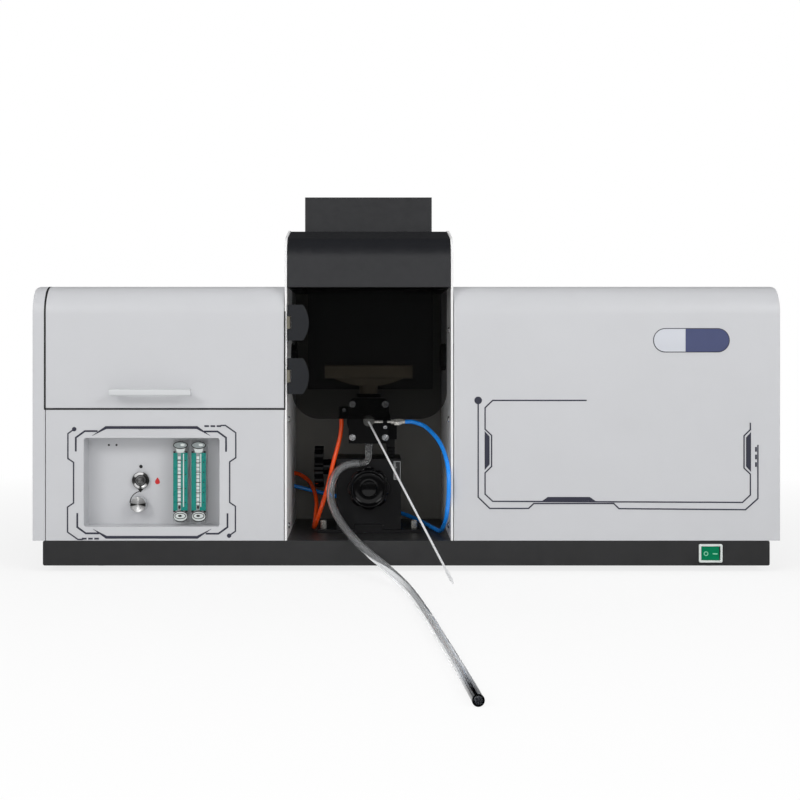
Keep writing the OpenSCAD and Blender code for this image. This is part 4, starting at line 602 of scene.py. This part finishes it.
def recess_marks():
    """Two vents, a status lamp, a drop-shaped flame and an arrow round the valve."""
    seat_y, mark_proud = TRAY_Y + 0.2, 0.22
    vent_xs, vent_z, lamp_x, lamp_z = (-411.6, -401.0), 170.4, -367.0, 140.6
    flame_x, flame_z, flame_w, flame_h = -344.2, 120.6, 4.7, 4.6
    holes, ring, mark, arrow = bmesh.new(), bmesh.new(), bmesh.new(), bmesh.new()
    for x in vent_xs:
        lathe(holes, facing((x, seat_y, vent_z), (0, -1, 0)), [(0, 0), (1.5, 0), (1.5, 0.32), (0, 0.28)], 20)
    piece("recess_vents", holes, dark_ink, "root")
    lathe(ring, facing((lamp_x, seat_y, lamp_z), (0, -1, 0)),
          [(0, 0), (2.3, 0), (2.3, 0.9), (1.9, 1.2), (1.6, 1.1), (1.4, 1.9), (0.8, 2.4), (0, 2.55)], 24)
    piece("status_lamp", ring, dark_ink, "root")
    outline = []
    for angle in circle(36):
        drop = 0.5 - 0.5 * math.cos(angle)
        width = flame_w * math.sin(angle) * (0.3 + 0.7 * drop)
        outline.append((flame_x + width, flame_z + flame_h * math.cos(angle)))
    plate(mark, outline, TRAY_Y, mark_proud)
    piece("flame_mark", mark, red_ink, "root")
    sweep = [(-382.4, 90.0), (-381.9, 93.5), (-380.4, 97.6), (-377.6, 101.4), (-373.4, 104.6), (-368.4, 106.6)]
    ribbon(arrow, sweep, 1.1, TRAY_Y, 0.2)
    plate(arrow, [(-371.6, 109.6), (-367.6, 104.6), (-363.4, 109.4)], TRAY_Y, mark_proud)
    piece("turn_arrow", arrow, dark_ink, "root")


def painted_sheen_metal(name, greys, rough=0.3):
    """Metal faced on a lathe with a painted reflection: greys at degrees clockwise from the left, fixed to the face
    in place of the sheen light would give it.
    """
    shader = Shader(name)
    shader.place.inputs["Rotation"].default_value = (math.radians(90), 0, 0)
    sweep = shader.nodes.new("ShaderNodeTexGradient")
    sweep.gradient_type = "RADIAL"
    shader.links.new(shader.place.outputs["Vector"], sweep.inputs["Vector"])
    stops = [(degrees / 360, srgb(grey, grey, grey)) for degrees, grey in greys]
    shader.links.new(shader.ramp(sweep.outputs["Fac"], stops), shader.bsdf.inputs["Base Color"])
    shader.links.new(shader.span(shader.noise(300.0), rough - 0.05, rough + 0.05), shader.bsdf.inputs["Roughness"])
    shader.surface(shader.noise(1500.0), 0.04)
    shader.set(metallic=0.35)
    return shader.material


def turned_disc(name, node, profile, finish, body):
    """A turned face about the middle of a node's front."""
    middle = node_centre(node)
    mesh_data = bmesh.new()
    lathe(mesh_data, facing((0, 0, 0), (0, -1, 0)), profile, 56)
    made = piece(name, mesh_data, finish, None)
    made.location = mm(middle.x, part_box(node)[0].y / MM, middle.z)
    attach(made, body)


def button_face():
    """A dished dark face on the ignition button, in a polished rim; the greys turned round both are painted
    reflections.
    """
    # Greys round the rim and round the face: painted reflections, fixed to the metal.
    rim_painted_sheen = [(0, 40), (28, 55), (40, 225), (105, 250), (118, 60), (150, 20), (205, 40), (222, 215), (255, 225),
                 (264, 70), (276, 70), (286, 225), (325, 200), (340, 60), (360, 40)]
    face_painted_sheen = [(0, 84), (45, 136), (90, 122), (150, 70), (180, 58), (225, 112), (270, 88), (315, 124), (360, 84)]
    turned_disc("button_rim", "button_bezel", [(7.6, -0.2), (11.0, -0.2), (11.4, 0.2), (11.2, 0.7), (10.2, 1.0),
                                               (8.4, 0.8), (7.6, 0.2), (7.6, -0.2)],
                painted_sheen_metal("polished_rim_painted_sheen", rim_painted_sheen, 0.2), "root")
    for name, low, high in (("button_edge", 11.2, 11.9), ("button_well", 6.8, 7.7)):
        turned_disc(name, "button_bezel", [(low, -0.3), (high, -0.3), (high, 0.35), (low, 0.35), (low, -0.3)],
                    dark_ink, "root")
    turned_disc("button_face", "ignition_button",
                [(0, -0.2), (6.3, -0.2), (6.3, 0.5), (5.9, 0.9), (5.2, 0.7), (4.9, 0.1), (4.3, 0.05), (4.0, 0.55),
                 (2.9, 0.62), (2.5, 0.5), (1.3, 0.55), (0, 0.6)], painted_sheen_metal("button_painted_sheen", face_painted_sheen),
                "ignition_button")
    turned_disc("button_groove", "ignition_button",
                [(4.35, 0.0), (4.85, 0.0), (4.85, 0.2), (4.35, 0.2), (4.35, 0.0)], dark_ink, "ignition_button")


def valve_face():
    """A turned face on the fuel valve knob, whose bright and dark wedges are a painted reflection."""
    # Bright and dark wedges round the face: painted reflection.
    sheen = [(0, 12), (9, 22), (17, 150), (72, 172), (90, 226), (106, 160), (163, 130), (171, 20), (189, 14),
             (197, 150), (245, 196), (272, 250), (298, 180), (343, 158), (351, 20), (360, 12)]
    turned_disc("valve_face", "fuel_valve_knob",
                [(0, -0.1), (10.6, -0.1), (10.6, 0.25), (10.0, 0.7), (9.0, 0.75), (8.8, 0.6), (0, 0.6)],
                painted_sheen_metal("turned_aluminium_painted_sheen", sheen), "fuel_valve_knob")


def flowmeters():
    """Teal faces, a scale down each tube and oval caps at both ends of the two flowmeters, with painted highlights: a
    pale strip beside each tube and a pale spot on each top cap.
    """
    low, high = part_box("flowmeter_bodies")
    (x0, front, z0), (x1, _, z1) = in_mm(low), in_mm(high)
    half, end, bead_pitch, bead, tube_half, margin, thin = 10.25, 17.0, 5.2, 3.9, 2.4, 0.3, 0.12
    cap_z, foot_z = z1 - 6.4, z0 + 9.6
    faces, pale, dark, grey = bmesh.new(), bmesh.new(), bmesh.new(), bmesh.new()
    for x, tube_x, highlight_x, tick_pitch in ((x0 + half, -1.6, 4.2, 19.2), (x1 - half, -1.0, 2.9, 13.8)):
        face_z0, face_z1, tube, line = z0 + end, z1 - end, x + tube_x, x + highlight_x
        for edge0, edge1 in ((x - half + margin, tube - tube_half), (tube + tube_half, x + half - margin)):
            plate(faces, box_outline(edge0, face_z0, edge1, face_z1), front, 0.2)
        plate(grey, box_outline(tube - tube_half, face_z0, tube + tube_half, face_z1), front, thin)
        # A pale strip beside the tube, full height: a painted highlight on the glass.
        plate(pale, box_outline(line - 0.7, face_z0 + 5, line + 0.7, face_z1 - 1, 0.6), front - 0.2, thin)
        for i in range(int((face_z1 - face_z0 - 9) / bead_pitch)):
            z = face_z0 + 8 + i * bead_pitch
            plate(pale, box_outline(tube - 1.9, z, tube + 1.9, z + bead, 0.8), front - thin, 0.18)
        for i in range(int((face_z1 - face_z0 - 12) / tick_pitch) + 1):
            z = face_z0 + 11 + i * tick_pitch
            plate(dark, box_outline(tube - 3.4, z - 0.4, tube + 4.0, z + 0.4), front - 0.3, thin)
            plate(dark, box_outline(x + 6.2, z - 0.7, x + 7.8, z + 0.9), front - 0.2, thin)
        plate(dark, oval(tube + 0.2, face_z0 + 4.6, 1.5, 2.3), front - thin, 0.5)
        neck_z0, neck_z1 = face_z1 + 0.4, face_z1 + 6.0
        plate(pale, [(x - 6.6, neck_z1), (x - 4.4, neck_z0), (x + 4.2, neck_z0), (x + 6.6, neck_z1)], front, 0.3)
        for z, tall in ((cap_z, 5.3), (foot_z - 0.4, 7.2)):
            plate(dark, oval(x, z, half - 0.1, tall), front, 0.5, bevel=0.2)
        plate(grey, oval(x, cap_z, half - 1.3, 4.0), front - 0.5, 0.3, bevel=0.15)
        # A pale spot on the top cap: a painted highlight.
        plate(pale, oval(x + 3.0, cap_z + 0.4, 3.0, 1.7), front - 0.8, 0.15)
        plate(pale, oval(x, foot_z - 0.6, half - 1.0, 6.4), front - 0.5, 0.3, bevel=0.15)
        plate(dark, oval(x, foot_z, half - 2.2, 4.3), front - 0.8, 0.15)
        plate(pale, oval(x, foot_z, half - 3.4, 3.3), front - 0.95, 0.15)
        plate(dark, oval(x - 0.6, foot_z + 0.2, 2.6, 1.5), front - 1.1, 0.15)
        foot = [(x - 8.0, z0 + 3.6), (x - 4.5, z0 + 2.2), (x, z0 + 1.6), (x + 4.5, z0 + 2.2), (x + 8.0, z0 + 3.6)]
        ribbon(dark, foot, 1.0, front, 0.3, pointed=True)
        for side in (-1, 1):
            edge = sorted((x + side * (half - margin), x + side * (half - 3.6)))
            plate(dark, box_outline(edge[0], face_z1, edge[1], face_z1 + 2.4, 0.6), front, 0.4)
            plate(dark, box_outline(edge[0], face_z0 - 2.2, edge[1], face_z0, 0.6), front, 0.4)
    piece("flowmeter_faces", faces, teal_plate, "root")
    piece("flowmeter_scales_and_highlights", pale, pale_print_and_highlight, "root")
    piece("flowmeter_rims", dark, dark_ink, "root")
    piece("flowmeter_tubes", grey, tube_grey, "root")


recess_marks()
button_face()
valve_face()
flowmeters()


# Power switch marks: a ring on the pressed side and a bar on the other.
def rocker_marks():
    centre = node_centre("switch_bezel")
    pivot = Vector((centre.x, FRONT_Y + 4.0, centre.z))
    tilt, face, dish, half, out_share = -7.0, -11.0, 1.2, 11.7, 0.52
    ring_in, ring_out, bar_half, bar_reach, proud = 2.0, 3.1, 0.75, 3.2, 0.16
    turn = Matrix.Rotation(math.radians(tilt), 4, "Z")
    slope = math.atan2(dish, half)
    mesh_data = bmesh.new()

    def spot(side):
        """Middle of one half of the rocker's face, and the way it looks."""
        place = pivot + turn @ Vector((side * half * out_share, face + dish * (1 - out_share), 0))
        return place, turn @ Vector((-side * math.sin(slope), -math.cos(slope), 0))

    place, outward = spot(-1)
    lathe(mesh_data, facing(place, outward),
          [(ring_in, -0.1), (ring_out, -0.1), (ring_out, proud), (ring_in, proud), (ring_in, -0.1)], 32)
    place, outward = spot(1)
    along = turn @ Vector((1, 0, 0))
    section = ((-bar_half, -0.1), (-bar_half, proud), (bar_half, proud), (bar_half, -0.1))
    loft(mesh_data, [[(place + along * reach + Vector((0, 0, up)) + outward * out) * MM for up, out in section]
                     for reach in (-bar_reach, bar_reach)])
    piece("rocker_marks", mesh_data, pale_ink, "power_rocker")


rocker_marks()


# Screws.
def pan_head(mesh_data, place, radius, height, sides=32):
    """A domed head with a cross recess."""
    cross_share, arm_share, deep_share = 0.6, 0.13, 0.45
    steps = [(1.0, 0.0), (1.0, 0.35), (0.93, 0.66), (0.78, 0.88), (0.55, 0.98), (0.36, 1.0), (0.2, 1.0), (0.08, 1.0)]
    rings = []
    for share, lift in steps:
        ring = []
        for angle in circle(sides):
            point = polar(radius * share, angle, height * lift)
            if share < cross_share and min(abs(point.x), abs(point.y)) < radius * arm_share:
                point.z -= deep_share * height
            ring.append(place @ point)
        rings.append(ring)
    loft(mesh_data, rings)


def chamber_screw_heads():
    """Slightly tilted heads and their shanks in the chamber's front plate."""
    low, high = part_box("chamber_screws")
    (x0, front, z0), (x1, _, z1) = in_mm(low), in_mm(high)
    radius, shank_r, shank_h, tilted = 5.2, 2.4, 20, (0.12, -1, 0.08)
    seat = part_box("chamber_front_plate")[0].y / MM
    mesh_data = bmesh.new()
    for x in (x0 + radius, x1 - radius):
        for z in (z0 + radius, z1 - radius):
            pan_head(mesh_data, facing((x, seat, z), tilted), radius, seat - front)
            lathe(mesh_data, facing((x, seat - 0.2, z), (0, 1, 0)),
                  [(0, 0), (shank_r, 0), (shank_r, shank_h), (0, shank_h + 1)], 16)
    heads = piece("chamber_screw_heads", mesh_data, chrome, "burner", sharp=50)
    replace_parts(heads, "chamber_screws")


def knurled_head(mesh_data, place, radius, height, knurls=28):
    """A tall thumb screw with a knurled side and a dished top."""
    profile = [(radius - 0.4, 0.0), (radius, 0.5), (radius, height - 1.2), (radius - 0.9, height - 0.3),
               (2.6, height), (2.2, height - 0.9)]
    rings = []
    for index, (around_r, up) in enumerate(profile):
        ring = []
        for i in range(knurls * 2):
            bite = 0.35 if index in (1, 2) and i % 2 else 0.0
            ring.append(place @ polar(around_r - bite, math.pi * i / knurls, up))
        rings.append(ring)
    loft(mesh_data, rings)


def bay_screw_heads():
    """Wall screws in both sides of the bay and thumb screws that hold the rail down."""
    wall_y, wall_zs, wall_r, wall_h = -205.0, (58.0, 206.0, 330.0), 4.2, 2.5
    rail_xs, rail_y, rail_top, rail_r, rail_h = (-116.0, 14.0), -142.0, 46.0, 4.5, 12.0
    shank = [(2.0, -0.2), (2.0, 2.9), (1.6, 3.0), (0, 3.0)]
    left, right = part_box("bay_side_left")[1].x / MM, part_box("bay_side_right")[0].x / MM
    mesh_data = bmesh.new()
    for z in wall_zs:
        for x, way in ((left, 1), (right, -1)):
            pan_head(mesh_data, facing((x, wall_y, z), (way, 0, 0)), wall_r, wall_h)
            lathe(mesh_data, facing((x, wall_y, z), (-way, 0, 0)), shank, 16)
    thumbs = bmesh.new()
    for x in rail_xs:
        knurled_head(thumbs, facing((x, rail_y, rail_top), (0, 0, 1)), rail_r, rail_h)
    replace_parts(piece("wall_screw_heads", mesh_data, chrome, "root", sharp=30), "fastening_screws")
    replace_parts(piece("thumb_screws", thumbs, nickel, "root", sharp=30), "fastening_screws")


chamber_screw_heads()
bay_screw_heads()


# The stand's scale, the gas fittings and the front knob.
def stand_scale():
    """A small dark plate with a thin frame and ticks."""
    x0, x1, z0, z1 = -15.7, -5.4, 117.0, 144.0
    thick, frame_in, first_z, tick_in, count = 0.5, 0.7, 2.6, 1.2, 15
    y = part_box("stand_block")[0].y / MM
    back, ticks = bmesh.new(), bmesh.new()
    plate(back, box_outline(x0, z0, x1, z1, 1.0), y, thick, bevel=0.15)
    piece("stand_scale_plate", back, dark_ink, "stand")
    left, right, low, high = x0 + frame_in, x1 - frame_in, z0 + frame_in, z1 - frame_in
    ribbon(ticks, [(left, low), (right, low), (right, high), (left, high), (left, low + 0.3)], 0.35, y - thick, 0.1)
    for i in range(count):
        z = z0 + first_z + i * (z1 - z0 - 2 * first_z) / (count - 1)
        reach = 3.6 if i % 5 == 0 else 2.2
        ribbon(ticks, [(x0 + tick_in, z), (x0 + tick_in + reach, z)], 0.4, y - thick, 0.1)
    piece("stand_scale_ticks", ticks, white_ink, "stand")


def gas_fittings():
    """A black elbow for the fuel hose, and a nickel tube with a clip and a hexagon nut for the oxidant hose."""
    black, metal, heads = bmesh.new(), bmesh.new(), bmesh.new()
    elbow_y, elbow_deep, clip_y, clip_deep, tube_y, tube_z = -148.0, 12.0, -175.0, 10.6, -181.0, 201.0
    tube_x, clip_x, nut_x, barb_x = -43.0, -31.0, -15.4, -6.2
    plate(black, box_outline(-94.0, 204.6, -79.5, 221.5, 1.6), elbow_y, elbow_deep, bevel=0.9)
    lathe(black, facing((-90.0, -154.0, 204.0), (0, 0, 1)),
          [(3.1, 0), (4.6, 0), (4.6, 1.5), (3.1, 1.6), (3.1, 0)], 28)
    for mesh_data, x, profile, sides in (
            (metal, tube_x, [(0, 0), (2.0, 0), (2.0, 23.5), (3.2, 23.5), (3.4, 24.2), (3.4, 27.2), (3.0, 27.6),
                             (0, 27.6)], 28),
            (metal, nut_x, [(0, 0), (4.6, 0), (5.3, 0.8), (5.3, 8.4), (4.6, 9.2), (0, 9.2)], 6),
            (metal, barb_x, [(0, 0), (4.4, 0), (4.4, 1.4), (3.6, 1.8), (3.8, 3.0), (3.3, 3.6), (3.5, 4.6), (3.0, 6.2),
                             (0, 6.2)], 28),
            (black, clip_x, [(2.1, 0), (4.6, 0), (4.9, 0.5), (4.9, 5.5), (4.6, 6.0), (2.1, 6.0), (2.1, 0)], 28)):
        lathe(mesh_data, facing((x, tube_y, tube_z), (1, 0, 0)), profile, sides)
    plate(black, box_outline(clip_x, 190.0, clip_x + 6.0, 198.5, 0.8), clip_y, clip_deep, bevel=0.5)
    pan_head(heads, facing((-86.0, elbow_y - elbow_deep, 216.6), (0, -1, 0)), 3.0, 1.6)
    pan_head(heads, facing((clip_x + 3.0, clip_y - clip_deep, 193.6), (0, -1, 0)), 2.9, 1.5)
    blocks = piece("fuel_elbow", black, black_plastic, "burner")
    tube = piece("oxidant_fitting", metal, nickel, "burner")
    screws = piece("fitting_screws", heads, chrome, "burner", sharp=50)
    for made in (blocks, tube, screws):
        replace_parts(made, "gas_fittings")


def front_knob_body():
    """A moulded knob with shallow notches, a raised ring round a dish, a hub and its shaft."""
    low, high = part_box("front_knob")
    centre, deep, notch, notches, sides = node_centre("front_knob"), 20.0, 2.4, 8, 128
    collar_r, collar_h, screw_r = 6.0, 19.7, 4.0
    back_y, shaft_y = low.y / MM + deep, high.y / MM
    place = facing((centre.x, back_y, centre.z), (0, -1, 0))
    rim = [(27.6, 0.0), (29.6, 1.6), (30.0, 8.0), (29.6, 14.2), (28.2, 17.4), (26.9, 18.6)]
    face = [(26.0, 19.6), (25.0, 20.0), (24.0, 19.6), (23.0, 18.0), (20.5, 16.9), (14.0, 16.3), (11.7, 16.6),
            (11.1, 18.8), (10.3, 19.7), (9.2, 19.5), (6.0, 18.7), (0.0, 18.5)]
    rings = []
    for reach, height in rim:
        ring = []
        for angle in circle(sides):
            bite = notch * (0.5 - 0.5 * math.cos(notches * angle)) ** 3
            ring.append(place @ polar(reach - bite, angle, height))
        rings.append(ring)
    rings += [turned_ring(place, reach, height, sides) for reach, height in face]
    knob, shaft = bmesh.new(), bmesh.new()
    loft(knob, rings)
    length = shaft_y - back_y
    lathe(shaft, facing((centre.x, back_y, centre.z), (0, 1, 0)),
          [(0, -1), (collar_r, -1), (collar_r, collar_h - 0.5), (collar_r - 0.5, collar_h), (screw_r, collar_h),
           (screw_r, length - 0.6), (screw_r - 0.6, length), (0, length)])
    moulding = piece("front_knob_moulding", knob, knob_plastic, "front_knob", sharp=50)
    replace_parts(moulding, "front_knob")
    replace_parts(piece("front_knob_shaft", shaft, dark_steel, "front_knob"), "front_knob")


stand_scale()
gas_fittings()
front_knob_body()


# Studio: a pale floor, white surroundings and soft lamps.
WORLD_LIGHT = 0.3


def combine(tree, operation, first, second):
    """Two sockets' values joined by an operation, such as their product or the larger of them."""
    node = tree.nodes.new("ShaderNodeMath")
    node.operation = operation
    tree.links.new(first, node.inputs[0])
    tree.links.new(second, node.inputs[1])
    return node.outputs["Value"]


def make_world():
    """White to the camera.

    Metal and glass see white low behind the object and close below it, and a dark room on the camera's side.
    """
    world = bpy.data.worlds.new("studio")
    world.use_nodes = True
    SCENE.world = world
    tree = world.node_tree
    nodes, links = tree.nodes, tree.links
    nodes.clear()

    def background(strength):
        node = nodes.new("ShaderNodeBackground")
        node.inputs["Color"].default_value = (1, 1, 1, 1)
        node.inputs["Strength"].default_value = strength
        return node

    def blend_of(factor, low, high):
        node = nodes.new("ShaderNodeMixShader")
        links.new(factor, node.inputs["Fac"])
        links.new(low.outputs[0], node.inputs[1])
        links.new(high.outputs[0], node.inputs[2])
        return node

    def fall(value, start, stop, low, high):
        node = nodes.new("ShaderNodeMapRange")
        node.interpolation_type = "SMOOTHSTEP"
        for name, number in (("From Min", start), ("From Max", stop), ("To Min", low), ("To Max", high)):
            node.inputs[name].default_value = number
        links.new(value, node.inputs["Value"])
        return node.outputs["Result"]

    coord, split = nodes.new("ShaderNodeTexCoord"), nodes.new("ShaderNodeSeparateXYZ")
    links.new(coord.outputs["Generated"], split.inputs["Vector"])
    behind = combine(tree, "MULTIPLY", fall(split.outputs["Z"], 0.02, 0.22, 1.0, 0.05),
                     fall(split.outputs["Y"], -0.4, 0.2, 0.10, 1.0))
    below = fall(split.outputs["Z"], -0.6, -0.25, 0.9, 0.0)
    room, seen, white = background(WORLD_LIGHT), background(1.0), background(1.0)
    links.new(combine(tree, "MAXIMUM", behind, below), seen.inputs["Strength"])
    path = nodes.new("ShaderNodeLightPath")
    mirrored = combine(tree, "MAXIMUM", path.outputs["Is Glossy Ray"], path.outputs["Is Transmission Ray"])
    shown = blend_of(path.outputs["Is Camera Ray"], blend_of(mirrored, room, seen), white)
    links.new(shown.outputs["Shader"], nodes.new("ShaderNodeOutputWorld").inputs["Surface"])


def make_floor():
    """A pale floor that fades into the white surroundings away from the object and keeps its shadow."""
    mesh_data = bmesh.new()
    bmesh.ops.create_grid(mesh_data, x_segments=8, y_segments=8, size=25.0)
    mesh = bpy.data.meshes.new("floor")
    mesh_data.to_mesh(mesh)
    mesh_data.free()
    floor = bpy.data.objects.new("floor", mesh)
    SCENE.collection.objects.link(floor)
    mat = bpy.data.materials.new("floor_paper")
    mat.use_nodes = True
    tree = mat.node_tree
    nodes, links = tree.nodes, tree.links
    nodes.clear()
    coord, reach = nodes.new("ShaderNodeTexCoord"), nodes.new("ShaderNodeVectorMath")
    reach.operation = "LENGTH"
    fade = nodes.new("ShaderNodeMapRange")
    for name, value in (("From Min", 0.55), ("From Max", 1.5), ("To Min", 0.8), ("To Max", 1.0)):
        fade.inputs[name].default_value = value
    path = nodes.new("ShaderNodeLightPath")
    paper, glow = nodes.new("ShaderNodeBsdfDiffuse"), nodes.new("ShaderNodeEmission")
    paper.inputs["Color"].default_value = (0.93, 0.93, 0.93, 1)
    mix, output = nodes.new("ShaderNodeMixShader"), nodes.new("ShaderNodeOutputMaterial")
    links.new(coord.outputs["Object"], reach.inputs[0])
    links.new(reach.outputs["Value"], fade.inputs["Value"])
    seen = combine(tree, "MAXIMUM", path.outputs["Is Camera Ray"], path.outputs["Is Glossy Ray"])
    seen = combine(tree, "MAXIMUM", seen, path.outputs["Is Transmission Ray"])
    links.new(combine(tree, "MULTIPLY", fade.outputs["Result"], seen), mix.inputs["Fac"])
    links.new(paper.outputs["BSDF"], mix.inputs[1])
    links.new(glow.outputs["Emission"], mix.inputs[2])
    links.new(mix.outputs["Shader"], output.inputs["Surface"])
    mesh.materials.append(mat)
    floor.visible_glossy = False


def soft_lamp(name, place, aim, size, power, glossy):
    data = bpy.data.lights.new(name, "AREA")
    data.shape = "RECTANGLE"
    data.size, data.size_y = size
    data.energy = power
    lamp = bpy.data.objects.new(name, data)
    lamp.location = place
    lamp.rotation_euler = (Vector(aim) - Vector(place)).to_track_quat("-Z", "Y").to_euler()
    lamp.visible_glossy = glossy
    SCENE.collection.objects.link(lamp)


make_world()
make_floor()
soft_lamp("key", (-1.45, -2.15, 1.4), (-0.05, -0.2, 0.25), (1.0, 0.8), 16, True)
soft_lamp("fill", (1.45, -2.15, 1.35), (0.05, -0.2, 0.25), (1.0, 0.8), 16, True)
soft_lamp("front", (-0.06, -2.7, 0.62), (-0.05, -0.2, 0.3), (2.2, 1.2), 10, True)
soft_lamp("top", (0.0, -0.75, 2.4), (0.0, -0.1, 0.3), (1.8, 1.0), 13, False)
